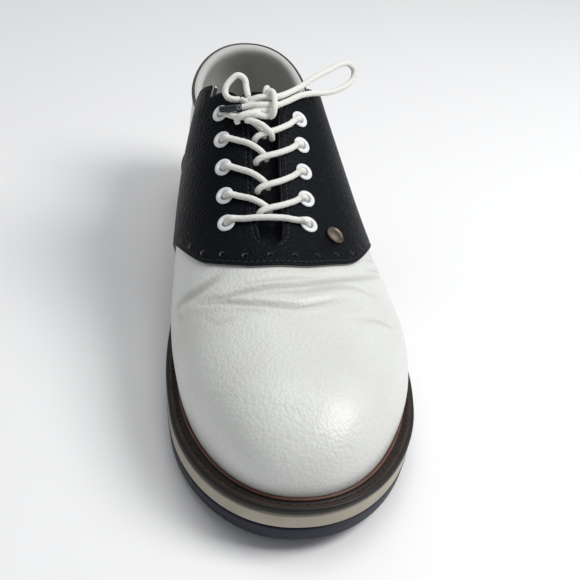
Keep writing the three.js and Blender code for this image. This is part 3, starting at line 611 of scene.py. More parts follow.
# Rows along a path: stitches and pins for holes
def makeRowTree(name, kind):
    tree = bpy.data.node_groups.new(name, "GeometryNodeTree")
    face = tree.interface
    face.new_socket("Path", in_out="INPUT", socket_type="NodeSocketGeometry")
    for label, value in [
        ("Pitch", 3 * mm), ("Length", 2.2 * mm), ("Width", 0.6 * mm), ("Height", 0.4 * mm), ("Jitter", 0.0)
    ]:
        face.new_socket(label, in_out="INPUT", socket_type="NodeSocketFloat").default_value = value
    face.new_socket("Seed", in_out="INPUT", socket_type="NodeSocketInt").default_value = 7
    face.new_socket("Finish", in_out="INPUT", socket_type="NodeSocketMaterial")
    face.new_socket("Row", in_out="OUTPUT", socket_type="NodeSocketGeometry")
    nodes, links = tree.nodes, tree.links

    def add(kindName, **settings):
        made = nodes.new(kindName)
        for key, value in settings.items():
            setattr(made, key, value)
        return made

    given, result = add("NodeGroupInput"), add("NodeGroupOutput")
    curve = add("GeometryNodeMeshToCurve")
    spread = add("GeometryNodeResampleCurve")
    if hasattr(spread, "mode"):
        spread.mode = "LENGTH"
    if kind == "stitch":
        shape, form = add("GeometryNodeMeshUVSphere"), {"Segments": 8, "Rings": 6, "Radius": 0.5}
    else:
        shape, form = add("GeometryNodeMeshCylinder"), {"Vertices": 20, "Radius": 0.5, "Depth": 1.0}
    for label, value in form.items():
        shape.inputs[label].default_value = value
    size, swingAxis = add("ShaderNodeCombineXYZ"), add("ShaderNodeCombineXYZ")
    up = add("GeometryNodeInputNamedAttribute", data_type="FLOAT_VECTOR")
    up.inputs["Name"].default_value = "up"
    tangent = add("GeometryNodeInputTangent")
    turn = add("FunctionNodeAxesToRotation", primary_axis="Z", secondary_axis="X")
    chance = add("FunctionNodeRandomValue", data_type="FLOAT")
    swing = add("FunctionNodeEulerToRotation")
    both = add("FunctionNodeRotateRotation", rotation_space="LOCAL")
    put = add("GeometryNodeInstanceOnPoints")
    real, paint = add("GeometryNodeRealizeInstances"), add("GeometryNodeSetMaterial")
    for source, socket, goal, place in [
        (given, "Path", curve, 0), (curve, 0, spread, "Curve"), (given, "Pitch", spread, "Length"),
        (given, "Length", size, 0), (given, "Width", size, 1), (given, "Height", size, 2),
        (up, 0, turn, 0), (tangent, 0, turn, 1),
        (given, "Jitter", chance, 3), (given, "Seed", chance, "Seed"), (chance, 1, swingAxis, 2),
        (swingAxis, 0, swing, 0), (turn, 0, both, 0), (swing, 0, both, 1),
        (spread, 0, put, "Points"), (shape, 0, put, "Instance"), (both, 0, put, "Rotation"),
        (size, 0, put, "Scale"), (put, 0, real, 0), (real, 0, paint, "Geometry"),
        (given, "Finish", paint, "Material"), (paint, 0, result, 0),
    ]:
        links.new(source.outputs[socket], goal.inputs[place])
    return tree


stitchTree, pinTree = makeRowTree("stitchRow", "stitch"), makeRowTree("pinRow", "pin")


def rowOf(name, tree, paths, sizes, material, seed=7):
    points, normals, edges = [], [], []
    for path, ups in paths:
        start = len(points)
        points += [tuple(np.asarray(p) * mm) for p in path]
        normals += [tuple(n) for n in ups]
        edges += [(start + i, start + i + 1) for i in range(len(path) - 1)]
    mesh = bpy.data.meshes.new(name)
    mesh.from_pydata(points, edges, [])
    mesh.attributes.new("up", "FLOAT_VECTOR", "POINT").data.foreach_set(
        "vector", np.asarray(normals, np.float32).ravel()
    )
    piece = bpy.data.objects.new(name, mesh)
    bpy.context.scene.collection.objects.link(piece)
    modifier = piece.modifiers.new("row", "NODES")
    modifier.node_group = tree
    labels = {
        item.name: item.identifier
        for item in tree.interface.items_tree
        if item.item_type == "SOCKET" and item.in_out == "INPUT"
    }
    for label, value in sizes.items():
        modifier[labels[label]] = value * (1 if label == "Jitter" else mm)
    modifier[labels["Seed"]] = seed
    modifier[labels["Finish"]] = material
    apply(piece)
    piece.data.polygons.foreach_set("use_smooth", np.full(len(piece.data.polygons), tree is stitchTree))
    return piece


# The soft folds where the vamp bends
foldRows = [
    {
        "path": [
            (0.712, -0.50), (0.7198, -0.45), (0.7333, -0.35), (0.7479, -0.239), (0.7578, -0.127),
            (0.7641, -0.017), (0.7631, 0.071), (0.7537, 0.16), (0.7414, 0.243), (0.73, 0.31)
        ],
        "depth": 0.85, "width": 1.3
    },
    {
        "path": [
            (0.706, -0.50), (0.7153, -0.417), (0.7262, -0.33), (0.7292, -0.247), (0.7294, -0.137),
            (0.7281, -0.014), (0.7225, 0.105), (0.7024, 0.267), (0.6634, 0.461), (0.612, 0.66), (0.59, 0.74)
        ],
        "depth": 0.8, "width": 1.6
    },
    {
        "path": [
            (0.719, -0.309), (0.7163, -0.21), (0.717, -0.116), (0.7155, -0.009), (0.7105, 0.113),
            (0.6976, 0.236), (0.6666, 0.409)
        ],
        "depth": 0.4, "width": 1.3
    },
    {
        "path": [
            (0.7408, -0.236), (0.7413, -0.127), (0.74, -0.02), (0.7376, 0.084), (0.7259, 0.189),
            (0.7108, 0.297), (0.7008, 0.393), (0.6944, 0.508), (0.6792, 0.652)
        ],
        "depth": 0.5, "width": 1.5
    },
    {
        "path": [
            (0.6763, -0.27), (0.6853, -0.34), (0.6897, -0.42), (0.6887, -0.50), (0.6833, -0.58),
            (0.675, -0.66), (0.662, -0.74)
        ],
        "depth": 0.8, "width": 3.0
    },
    {
        "path": [(0.7767, 0.226), (0.7621, 0.389), (0.7496, 0.497), (0.7437, 0.575), (0.732, 0.67)],
        "depth": 0.35, "width": 1.4
    },
    {"path": [(0.6573, 0.418), (0.6237, 0.568), (0.5946, 0.69), (0.58, 0.76)], "depth": 0.4, "width": 1.0},
    {"path": [(0.6286, 0.483), (0.595, 0.60), (0.572, 0.697)], "depth": 0.35, "width": 1.0},
    {"path": [(0.6038, 0.533), (0.58, 0.62), (0.558, 0.70)], "depth": 0.3, "width": 1.0},
    {
        "path": [(0.7542, -0.308), (0.7609, -0.229), (0.7714, -0.133), (0.781, -0.026)], "depth": 0.25,
        "width": 1.5
    },
    {
        "path": [(0.735, -0.50), (0.752, -0.43), (0.7701, -0.379), (0.772, -0.283), (0.776, -0.189)],
        "depth": 0.22, "width": 1.5
    },
    {"path": [(0.668, -0.62), (0.69, -0.64), (0.712, -0.62), (0.733, -0.58)], "depth": 0.35, "width": 1.8},
]
foldArc = 78.0  # millimetres round the vamp from the ridge to the feather edge


def foldHeight(share, around):
    x, y = np.asarray(around) * foldArc, np.asarray(share) * last["length"]
    height, foldShadeMask = np.zeros(x.shape), np.zeros(x.shape)
    if not ((share > 0.53) & (share < 0.82)).any():
        return height, foldShadeMask
    for fold in foldRows:
        path = np.array(fold["path"])
        spots = np.linspace(0, len(path) - 1, 40)
        px = naturalSpline(np.arange(len(path)), path[:, 1])(spots) * foldArc
        py = naturalSpline(np.arange(len(path)), path[:, 0])(spots) * last["length"]
        best, along = np.full(x.shape, 1e9), np.zeros(x.shape)
        for i in range(len(px) - 1):
            dx, dy = px[i + 1] - px[i], py[i + 1] - py[i]
            f = np.clip(((x - px[i]) * dx + (y - py[i]) * dy) / (dx * dx + dy * dy), 0, 1)
            d = np.hypot(x - px[i] - f * dx, y - py[i] - f * dy)
            nearer = d < best
            best, along = np.where(nearer, d, best), np.where(nearer, (i + f) / (len(px) - 1), along)
        fade = np.sin(np.pi * np.clip(along, 0.02, 0.98)) ** 0.6
        w = fold["width"]
        trough = np.exp(-((best / w) ** 2))
        swell = np.exp(-(((best - 2.2 * w) / (1.3 * w)) ** 2))
        height += fold["depth"] * fade * (0.4 * swell - trough)
        # the mask paints shade as well as weighting the wrinkle bump: the white leather is darkened in and
        # around each fold
        near = np.exp(-((best / 7.0) ** 2))
        foldShadeMask = np.maximum(foldShadeMask, fade * (0.7 * trough * min(1, 1.1 * fold["depth"]) + 0.3 * near))
    return height, foldShadeMask


# Upper: leather outside, grey lining inside, one closed shell
upperSizes = {
    "wall": 2.4, "collarPad": 2.2, "padBand": 24.0, "columns": 78, "liningColumns": 20, "rimRows": 4
}


def shareRows():
    parts = [
        0.06 * (np.arange(14) / 14) ** 2.15,
        np.arange(0.06, 0.36, 0.0037),
        np.arange(0.36, 0.41, 0.001),
        np.arange(0.41, 0.55, 0.0042),
        np.arange(0.55, 0.64, 0.0018),
        np.arange(0.64, throatEnd - 0.0003, 0.0008),
        [throatEnd],
        np.arange(throatEnd + 0.0016, 0.79, 0.0016),
        np.arange(0.79, 0.93, 0.0034),
        1 - 0.07 * (np.arange(22, -1, -1) / 22) ** 2.2,
    ]
    return np.concatenate(parts)


def liningDepth(share, around):
    p = lastPoint(share, around)
    near = smoothStep(1 - (toplineAt(share, p[..., 0]) - p[..., 2]) / upperSizes["padBand"])
    behind = smoothStep((0.34 - share) / 0.07)
    return upperSizes["wall"] + upperSizes["collarPad"] * near * behind


def makeUpper():
    rows = shareRows()
    points, faces, slots, foldShades = [], [], [], []
    count = 0
    for side in (-1, 1):
        edge = edgeAt(rows, side)
        columns = np.linspace(0, 1, upperSizes["columns"] + 1)
        columns = columns - 0.35 * np.sin(2 * np.pi * columns) / (2 * np.pi)
        around = edge[:, None] + (side - edge[:, None]) * columns[None]
        share = np.broadcast_to(rows[:, None], around.shape)
        lift, foldShadeMask = foldHeight(share, around)
        outside = skin(share, around, lift)
        inColumns = np.linspace(0, 1, upperSizes["liningColumns"] + 1) ** 1.3
        inAround = edge[:, None] + (side - edge[:, None]) * inColumns[None]
        inShare = np.broadcast_to(rows[:, None], inAround.shape)
        depth = liningDepth(inShare, inAround)
        rim = np.clip(
            -(
                lastPoint(inShare, inAround)[..., 2] - lastPoint(inShare[:, :1], inAround[:, :1])[..., 2]
            ) / 4.5,
            0, 1
        )
        open_ = smoothStep((throatEnd - inShare) / 0.02)
        ease = 1 - open_ * 0.32 * (1 - np.sqrt(1 - (1 - rim) ** 2))
        inside = skin(inShare, inAround, -depth * ease)
        floor = feather(shareAt(inside[..., 1]))
        inside[..., 2] = np.maximum(inside[..., 2], floor + 0.02)
        outside[..., 2] = np.maximum(outside[..., 2], feather(shareAt(outside[..., 1])) + 0.02)
        start = count
        turn = side > 0
        quads = gridQuads(*around.shape, start)
        faces.append(quads if turn else quads[:, ::-1])
        under = (share > saddleBack(np.abs(around)) + 0.004) & (share < saddleFront(np.abs(around)) - 0.004)
        covered = under[:-1, :-1] & under[1:, :-1] & under[:-1, 1:] & under[1:, 1:]
        # faces under the saddle get the painted shade finish
        slots.append(np.where(covered, 2, 0).ravel())
        points.append(outside.reshape(-1, 3))
        foldShades.append(foldShadeMask.ravel())
        count += around.size
        inner = count
        quads = gridQuads(*inAround.shape, inner)
        faces.append(quads[:, ::-1] if turn else quads)
        # painted shade: the lining strip and the rim along the throat get the near-black finish
        liningAndShadeSlots = np.ones((len(rows) - 1, inAround.shape[1] - 1), int)
        liningAndShadeSlots[rows[:-1] > 0.36, :3] = 2
        slots.append(liningAndShadeSlots.ravel())
        points.append(inside.reshape(-1, 3))
        foldShades.append(np.zeros(inAround.size))
        count += inAround.size
        # the rim between them, a little round, and the lower edge
        steps = upperSizes["rimRows"]
        rounds = []
        for k in range(1, steps):
            f = k / steps
            mid = outside[:, 0] * (1 - f) + inside[:, 0] * f
            swell = 0.5 * math.sin(math.pi * f) * smoothStep((throatEnd - rows) / 0.01)
            away = unit(outside[:, 0] - outside[:, 2])
            rounds.append(mid + away * swell[:, None])
        rimStart = count
        block = np.stack(rounds, 1)
        points.append(block.reshape(-1, 3))
        foldShades.append(np.zeros(block.shape[0] * block.shape[1]))
        count += block.shape[0] * block.shape[1]
        n = len(rows)
        for i in range(n - 1):
            if rows[i + 1] > throatEnd + 1e-9:
                break
            lines = [[start + j * around.shape[1] for j in (i, i + 1)]]
            lines += [[rimStart + j * (steps - 1) + k for j in (i, i + 1)] for k in range(steps - 1)]
            lines += [[inner + j * inAround.shape[1] for j in (i, i + 1)]]
            for a, b in zip(lines[:-1], lines[1:]):
                quad = [a[0], a[1], b[1], b[0]]
                faces.append(np.array([quad if turn else quad[::-1]]))
                # painted shade on the rim along the throat
                slots.append(np.array([1 if rows[i] < 0.36 else 2]))
        for i in range(n - 1):
            a = [start + j * around.shape[1] + around.shape[1] - 1 for j in (i, i + 1)]
            b = [inner + j * inAround.shape[1] + inAround.shape[1] - 1 for j in (i, i + 1)]
            quad = [a[1], a[0], b[0], b[1]]
            faces.append(np.array([quad if turn else quad[::-1]]))
            slots.append(np.array([1]))
    piece = meshPiece(
        "upperShell", np.concatenate(points), np.concatenate(faces), [whiteLeather, liningCloth, paintedShadeBlack],
        np.concatenate(slots)
    )
    # the fold mask drives the wrinkle bump and the painted crease shade
    giveFloats(piece, "fold", np.concatenate(foldShades))
    tidyMesh(piece, 0.00004, 50)
    return piece


# Saddle: the navy overlay with its perforations
saddleSizes = {"over": 0.3, "thick": 1.4, "across": 74, "along": 96, "stitchInset": 2.1, "groove": 0.3}
saddleTop = saddleSizes["over"] + saddleSizes["thick"]


def crowded(count, length):
    ends = np.array([0, 0.12, 0.35, 0.8, 1.3, 1.7, 2.1, 2.5, 3.0, 3.8]) / length
    middle = np.linspace(ends[-1], 1 - ends[-1], count - 2 * (len(ends) - 1) + 1)
    return np.concatenate([ends[:-1], middle, (1 - ends[:-1])[::-1]])


def saddleGrid(side, u, v):
    u, v = np.meshgrid(u, v, indexing="ij")
    first = np.full(u[:, 0].shape, 0.2 * side)
    for _ in range(80):
        low, high = saddleBack(np.abs(first)), saddleFront(np.abs(first))
        first = 0.5 * first + 0.5 * edgeAt(low + (high - low) * u[:, 0], side)
    around = first[:, None] + (side - first[:, None]) * v
    low, high = saddleBack(np.abs(around)), saddleFront(np.abs(around))
    return low + (high - low) * u, around


def fromEdges(share, around, u, v):
    p = lastPoint(share, around)
    across = np.concatenate(
        [np.zeros((1, p.shape[1])), np.cumsum(np.linalg.norm(np.diff(p, axis=0), axis=-1), 0)]
    )
    along = np.concatenate(
        [np.zeros((p.shape[0], 1)), np.cumsum(np.linalg.norm(np.diff(p, axis=1), axis=-1), 1)], 1
    )
    return across, across[-1:] - across, along, along[:, -1:] - along


def makeSaddle():
    u, v = crowded(saddleSizes["across"], 105), crowded(saddleSizes["along"], 100)
    points, faces, slots, wear = [], [], [], []
    count = 0
    for side in (-1, 1):
        share, around = saddleGrid(side, u, v)
        fromBack, fromFront, fromEdge, _ = fromEdges(share, around, u, v)
        joined = share[:, :1] >= throatEnd
        fromEdge = np.where(joined, 99, fromEdge)
        near = np.minimum(np.minimum(fromBack, fromFront), fromEdge)
        ease = np.sqrt(1 - (1 - np.clip(near / 0.8, 0, 1)) ** 2)
        groove = saddleSizes["groove"] * np.exp(-(((near - saddleSizes["stitchInset"]) / 0.55) ** 2))
        lift, _ = foldHeight(share, around)
        top = skin(
            share, around, saddleSizes["over"] + saddleSizes["thick"] * (0.55 + 0.45 * ease) - groove + lift
        )
        under = skin(share, around, np.full(share.shape, saddleSizes["over"]) + lift)
        for block in (top, under):
            block[..., 2] = np.maximum(block[..., 2], feather(shareAt(block[..., 1])) + 0.08)
        rows, cols = share.shape
        turn = side > 0
        for k, block in enumerate((top, under)):
            quads = gridQuads(rows, cols, count + k * rows * cols)
            faces.append(quads if turn == (k == 0) else quads[:, ::-1])
            slots.append(np.zeros(len(quads), int))
            points.append(block.reshape(-1, 3))
            wear.append(np.clip(1 - near / 0.7, 0, 1).ravel() * 0.6)
        index = lambda i, j: count + i * cols + j
        border = [(index(i, cols - 1), index(i + 1, cols - 1)) for i in range(rows - 1)]
        border += [(index(i + 1, 0), index(i, 0)) for i in range(rows - 1) if not joined[i + 1, 0]]
        border += [(index(rows - 1, j + 1), index(rows - 1, j)) for j in range(cols - 1)]
        border += [(index(0, j), index(0, j + 1)) for j in range(cols - 1)]
        step = rows * cols
        walls = np.array([[b, a, a + step, b + step] for a, b in border])
        faces.append(walls if turn else walls[:, ::-1])
        slots.append(np.ones(len(walls), int))
        count += 2 * step
    piece = meshPiece(
        "saddleOverlay", np.concatenate(points), np.concatenate(faces), [navyLeather, cutEdge, paintedShadeBlack],
        np.concatenate(slots)
    )
    giveFloats(piece, "wear", np.concatenate(wear))
    tidyMesh(piece, 0.00003, 45)
    return piece


def insetPath(side, which, inset, height, vRange=(0.0, 1.0), uRange=(0.0, 1.0), samples=160):
    fine = np.linspace(0, 1, samples)
    share, around = saddleGrid(side, fine, fine)
    fromBack, fromFront, fromEdge, _ = fromEdges(share, around, fine, fine)
    path = []
    for j in range(samples):
        if which in ("front", "back"):
            if not vRange[0] <= fine[j] <= vRange[1]:
                continue
            d = (fromFront if which == "front" else fromBack)[:, j]
            order = np.argsort(d)
            path.append(
                (np.interp(inset, d[order], share[order, j]), np.interp(inset, d[order], around[order, j]))
            )
        else:
            if not uRange[0] <= fine[j] <= uRange[1]:
                continue
            path.append((np.interp(inset, fromEdge[j], share[j]), np.interp(inset, fromEdge[j], around[j])))
    path = np.array(path)
    lift, _ = foldHeight(path[:, 0], path[:, 1])
    return skin(path[:, 0], path[:, 1], height + lift), normalAt(path[:, 0], path[:, 1])


# Sole: navy outsole with nubs, cream midsole, brown welt with its bead
soleSizes = {
    "places": 150, "weltThick": 3.5, "weltInset": 12.3, "midsole": 7.0, "treadDepth": 2.2, "rim": 9.0,
    "nub": 5.0, "nubPitch": 18.0, "waist": (0.235, 0.585), "pockets": ((0.03, 0.235), (0.585, 0.965))
}


def weltTop(share):
    return feather(share) - last["gap"]


def midsoleTop(share):
    return weltTop(share) - soleSizes["weltThick"] - last["gap"]


def outsoleTop(share):
    return midsoleTop(share) - soleSizes["midsole"] - midExtra(share) - last["gap"]


def soleLoop(inset, height, low=0.0, high=1.0):
    places = low + (high - low) * (
        1 - np.cos(np.pi * np.arange(soleSizes["places"] + 1) / soleSizes["places"])
    ) / 2
    length = soleLength - 2 * inset
    fromHeel = places * length
    y = soleLength / 2 - inset - fromHeel
    share = shareAt(y)
    w = (
        half(share) + reach(share) - inset
    ) * closing(fromHeel, heelRound) * closing(length - fromHeel, toeRound)
    z = height(share)
    inner = np.stack([swing(share) - w, y, z], -1)
    outer = np.stack([swing(share) + w, y, z], -1)
    if low > 0 or high < 1:
        return np.concatenate([inner, outer[::-1]])
    return np.concatenate([inner, outer[1:-1][::-1]])


def stack(loops, closed=False):
    n = len(loops[0])
    points = np.concatenate(loops)
    faces = [gridQuads(len(loops), n, 0, True)[:, ::-1]]
    if closed:
        base = (len(loops) - 1) * n
        j = np.arange(n)
        faces.append(np.stack([base + j, base + (j + 1) % n, (j + 1) % n, j], -1)[:, ::-1])
        return points, list(np.concatenate(faces))
    faces = list(np.concatenate(faces))
    for base, turn in ((0, True), ((len(loops) - 1) * n, False)):
        for j in range(n // 2):
            a, b, c, d = base + j, base + j + 1, base + (n - j - 1) % n, base + (n - j) % n
            quad = [a, b, c] if j == 0 and n % 4 == 0 and d == base else [a, b, c, d]
            quad = list(dict.fromkeys(quad))
            if len(quad) > 2:
                faces.append(quad[::-1] if turn else quad)
    return points, faces


def joined(blocks):
    points, faces, start = [], [], 0
    for p, f in blocks:
        points.append(np.asarray(p))
        faces += [[int(i) + start for i in face] for face in f]
        start += len(p)
    return np.concatenate(points), faces


def nubBlock(x, y, base):
    rings, sides = [(0.7, 0.0), (0.92, 0.25), (1.0, 0.8), (1.0, soleSizes["treadDepth"] + 0.6)], 20
    angle = np.arange(sides) * 2 * np.pi / sides
    loops = [
        np.stack(
            [
                x + soleSizes["nub"] * r * np.cos(angle), y + soleSizes["nub"] * r * np.sin(angle),
                np.full(sides, base + h)
            ],
            -1
        )
        for r, h in rings
    ]
    points = np.concatenate(loops)
    faces = [list(f) for f in gridQuads(len(loops), sides, 0, True)]
    faces += endCaps(len(loops), sides)
    return points, faces


def makeOutsole():
    depth, rimInset = soleSizes["treadDepth"], soleSizes["rim"]
    side = [(2.2, 0), (1.5, 0.35), (0.9, 1.3)]
    top = [(0.5, -1.4), (0.6, -0.5), (1.1, 0)]
    slab = [soleLoop(2.2, lambda s: ground(s) + depth), soleLoop(0.9, lambda s: ground(s) + depth + 0.1)]
    slab += [soleLoop(i, lambda s, h=h: outsoleTop(s) + h) for i, h in top]
    walls = [(rimInset, depth + 0.3), (rimInset, 0.5), (rimInset - 0.6, 0)] + side + [(0.85, depth + 0.3)]
    blocks = [stack(slab), stack([soleLoop(i, lambda s, h=h: ground(s) + h) for i, h in walls], True)]
    # the solid waist between the two pockets of the tread
    inset = rimInset - 1
    length = soleLength - 2 * inset
    a, b = ((soleLength / 2 - inset - yAt(end)) / length for end in soleSizes["waist"])
    blocks.append(
        stack(
            [soleLoop(inset + 0.4, ground, a, b), soleLoop(inset, lambda s: ground(s) + depth + 0.3, a, b)]
        )
    )
    for low, high in soleSizes["pockets"]:
        length = (high - low) * last["length"]
        rows = round(length / soleSizes["nubPitch"])
        for i in range(rows):
            y = yAt(low) - (i + 0.5) * length / rows
            share = float(shareAt(y))
            room = float(half(share)) - soleSizes["rim"] - soleSizes["nub"]
            offset = soleSizes["nubPitch"] / 2 if i % 2 else 0
            for k in range(-4, 4):
                x = k * soleSizes["nubPitch"] + offset
                if abs(x) < room and 0.05 < share < 0.93:
                    blocks.append(nubBlock(float(swing(share)) + x, y, float(ground(share))))
    points, faces = joined(blocks)
    piece = meshPiece("outsoleRubber", points, faces, [navyRubber])
    tidyMesh(piece, 0.00001, 35)
    return piece


def makeMidsole():
    low = lambda s: outsoleTop(s) + last["gap"]
    loops = [
        soleLoop(1.4, low), soleLoop(0.9, lambda s: low(s) + 0.25), soleLoop(0.45, lambda s: low(s) + 0.9)
    ]
    loops += [soleLoop(0.35, lambda s, f=f: low(s) + (midsoleTop(s) - low(s)) * f) for f in (0.35, 0.65)]
    loops += [
        soleLoop(0.6, lambda s: midsoleTop(s) - 0.8), soleLoop(1.3, lambda s: midsoleTop(s) - 0.1),
        soleLoop(2.2, midsoleTop)
    ]
    inside = soleSizes["weltInset"] + last["gap"]
    loops += [soleLoop(inside, midsoleTop), soleLoop(inside, weltTop)]
    piece = meshPiece("midsoleFoam", *stack(loops), [creamMidsole])
    tidyMesh(piece, 0.00001, 40)
    return piece


def makeWeltStrip():
    under = lambda s: weltTop(s) - soleSizes["weltThick"]
    profile = [
        (soleSizes["weltInset"], under, 0), (1.4, under, 0), (0.7, under, 0.2), (0.1, under, 0.9),
        (0.0, weltTop, -1.5), (0.15, weltTop, -0.7), (0.55, weltTop, -0.18)
    ]
    profile += [
        (1.1, weltTop, 0), (2.3, weltTop, 0), (2.7, weltTop, -0.12), (3.05, weltTop, -0.5),
        (3.4, weltTop, -0.5), (3.75, weltTop, -0.12), (4.1, weltTop, 0),
        (soleSizes["weltInset"], weltTop, 0)
    ]
    loops = [soleLoop(i, lambda s, f=f, h=h: f(s) + h) for i, f, h in profile]
    points, faces = stack(loops, True)
    piece = meshPiece("weltStrip", points, faces, [brownWelt])
    inset = np.repeat([min(i, 12) / 6 if f is weltTop else 0 for i, f, h in profile], len(loops[0]))
    giveFloats(piece, "inset", np.clip(inset, 0, 1))
    tidyMesh(piece, 0.00001, 50)
    return piece


def ringAlong(centres, first, second, radii, sides=10):
    angle = np.arange(sides) * 2 * np.pi / sides
    rings = centres[:, None] + first[:, None] * (
        radii[0] * np.cos(angle)
    )[None, :, None] + second[:, None] * (radii[1] * np.sin(angle))[None, :, None]
    return rings


beadSizes = {"out": 0.95, "up": 0.3, "long": 0.75, "thick": 0.62}


def makeBead():
    shares = np.concatenate(
        [
            0.06 * (np.arange(16) / 16) ** 2.15, np.linspace(0.06, 0.93, 150),
            1 - 0.07 * (np.arange(23, -1, -1) / 24) ** 2.2
        ]
    )
    path = []
    for side in (-1, 1):
        p = lastPoint(shares, np.full(shares.shape, float(side)))
        out = normalAt(shares, np.full(shares.shape, 0.995 * side))
        out[:, 2] = 0
        line = p + unit(out) * beadSizes["out"]
        line[:, 2] = feather(shareAt(line[:, 1])) + beadSizes["up"]
        path.append(line if side < 0 else line[::-1][1:-1])
    centres = np.concatenate(path)
    tangent = unit(np.roll(centres, -1, 0) - np.roll(centres, 1, 0))
    across = unit(np.cross(tangent, np.array([0, 0, 1.0])))
    rings = ringAlong(centres, across, np.cross(across, tangent), (beadSizes["long"], beadSizes["thick"]))
    n, sides = rings.shape[:2]
    quads = gridQuads(n, sides, 0, True)
    j = np.arange(sides)
    close = np.stack([(n - 1) * sides + j, (n - 1) * sides + (j + 1) % sides, (j + 1) % sides, j], -1)
    piece = meshPiece("weltBead", rings.reshape(-1, 3), np.concatenate([quads, close]), [beadLeather])
    tidyMesh(piece, 0.00001)
    return piece


def loopPath(inset, height, lift):
    loop = soleLoop(inset, lambda s: height(s) + lift)
    loop = np.concatenate([loop, loop[:1]])
    return loop, np.tile([0, 0, 1.0], (len(loop), 1))


print("building sole")
outsolePiece, midsolePiece, weltPiece, beadPiece = makeOutsole(), makeMidsole(), makeWeltStrip(), makeBead()
finishPiece(outsolePiece, "outsole_rubber", "outsole")
finishPiece(midsolePiece, "midsole_foam", "midsole")
finishPiece(weltPiece, "welt_leather", "welt")
finishPiece(beadPiece, "welt_leather")
weltStitches = rowOf(
    "weltStitches", stitchTree, [loopPath(3.22, weltTop, -0.25)],
    {"Pitch": 3.6, "Length": 3.3, "Width": 0.9, "Height": 0.7, "Jitter": 0.05}, brownThread
)
finishPiece(weltStitches, "welt_leather")

# Upper and saddle, with the holes for eyelets and perforations
print("building upper and saddle")
laceSizes = {
    "rows": 5, "top": 0.425, "low": 0.603, "gauge": 35.8, "outerDrop": 1.9, "outerInward": 1.2,
    "radius": 1.4, "clear": 0.12, "ringHeight": 1.12, "ringClear": 0.08
}
eyelets = []
for row in range(laceSizes["rows"]):
    share = laceSizes["low"] + (laceSizes["top"] - laceSizes["low"]) * row / (laceSizes["rows"] - 1)
    for side, drop, sideways in (
        (-1, 0.0, -laceSizes["gauge"] / 2),
        (1, laceSizes["outerDrop"], laceSizes["gauge"] / 2 - laceSizes["outerInward"])
    ):
        place = share + drop / last["length"]
        eyelets.append(
            (
                row, side, place,
                float(roundAtX(np.array([place]), np.array([last["laceLine"] + sideways]))[0])
            )
        )
eyeShares, eyeRounds = np.array([e[2] for e in eyelets]), np.array([e[3] for e in eyelets])
eyePoints, eyeNormals = lastPoint(eyeShares, eyeRounds), normalAt(eyeShares, eyeRounds)


def turned(normal):
    return Vector(normal).to_track_quat("Z", "Y").to_matrix()


def lathe(profile, place, normal, sides=28):
    angle = np.arange(sides) * 2 * np.pi / sides
    profile = np.asarray(profile, float)
    local = np.stack(
        [
            profile[:, None, 0] * np.cos(angle), profile[:, None, 0] * np.sin(angle),
            np.repeat(profile[:, 1:2], sides, 1)
        ],
        -1
    )
    points = np.asarray(place) + local.reshape(-1, 3) @ np.array(turned(normal)).T
    return points, [list(f) for f in gridQuads(len(profile), sides, 0, True)]


def pins(name, radius, low, high, sides=24):
    blocks = []
    for p, n in zip(eyePoints, eyeNormals):
        points, faces = lathe([(radius, low), (radius, high)], p, n, sides)
        faces += endCaps(2, sides)
        blocks.append((points, faces))
    piece = meshPiece(name, *joined(blocks), [paintedShadeBlack], smooth=False)
    tidyMesh(piece, 0.00001)
    return piece


upperPiece, saddlePiece = makeUpper(), makeSaddle()
eyePins = pins("eyePins", 2.75, -9, 9)
carve(upperPiece, eyePins)
carve(saddlePiece, eyePins)
holeSizes = {"pitch": 10.8, "wide": 2.5, "inset": 5.6}
holePaths = [insetPath(side, "front", holeSizes["inset"], 1.2, (0.0, 0.93)) for side in (-1, 1)]
frontPath = (
    np.concatenate([holePaths[0][0][::-1], holePaths[1][0][1:]]),
    np.concatenate([holePaths[0][1][::-1], holePaths[1][1][1:]])
)
backPaths = [insetPath(side, "back", holeSizes["inset"], 1.2, (0.06, 0.93)) for side in (-1, 1)]
holePins = rowOf(
    "holePins", pinTree, [frontPath] + backPaths,
    {
        "Pitch": holeSizes["pitch"], "Length": holeSizes["wide"], "Width": holeSizes["wide"], "Height": 2.6,
        "Jitter": 0
    },
    cutEdge
)
# painted shade: a dark disc at the bottom of each perforation
holeShadeFloors = rowOf(
    "perforations", pinTree, [(p - n * 1.02, n) for p, n in [frontPath] + backPaths],
    {"Pitch": holeSizes["pitch"], "Length": 2.8, "Width": 2.8, "Height": 0.12, "Jitter": 0}, paintedShadeBlack
)
carve(saddlePiece, holePins)
for cutter in (eyePins, holePins):
    bpy.data.objects.remove(cutter)
finishPiece(upperPiece, "white_leather", "upper")
finishPiece(saddlePiece, "navy_leather", "saddle")
finishPiece(holeShadeFloors, "navy_leather")
seamSizes = {"Pitch": 2.6, "Length": 2.1, "Width": 0.42, "Height": 0.32, "Jitter": 0.06}
seamLift = saddleSizes["over"] + saddleSizes["thick"] - saddleSizes["groove"] + 0.08
seams = []
for side in (-1, 1):
    seams.append(insetPath(side, "front", saddleSizes["stitchInset"], seamLift, (0.0, 0.96)))
    seams.append(insetPath(side, "back", saddleSizes["stitchInset"], seamLift, (0.03, 0.96)))
    seams.append(insetPath(side, "edge", saddleSizes["stitchInset"], seamLift, uRange=(0.06, 0.9)))
saddleStitches = rowOf("saddleStitches", stitchTree, seams, seamSizes, navyThread, 11)
finishPiece(saddleStitches, "navy_leather")


# Collar binding, tongue and insole
bindingSizes = {"down": 1.2, "out": 0.75, "long": 1.15, "thick": 0.75, "end": 0.299}


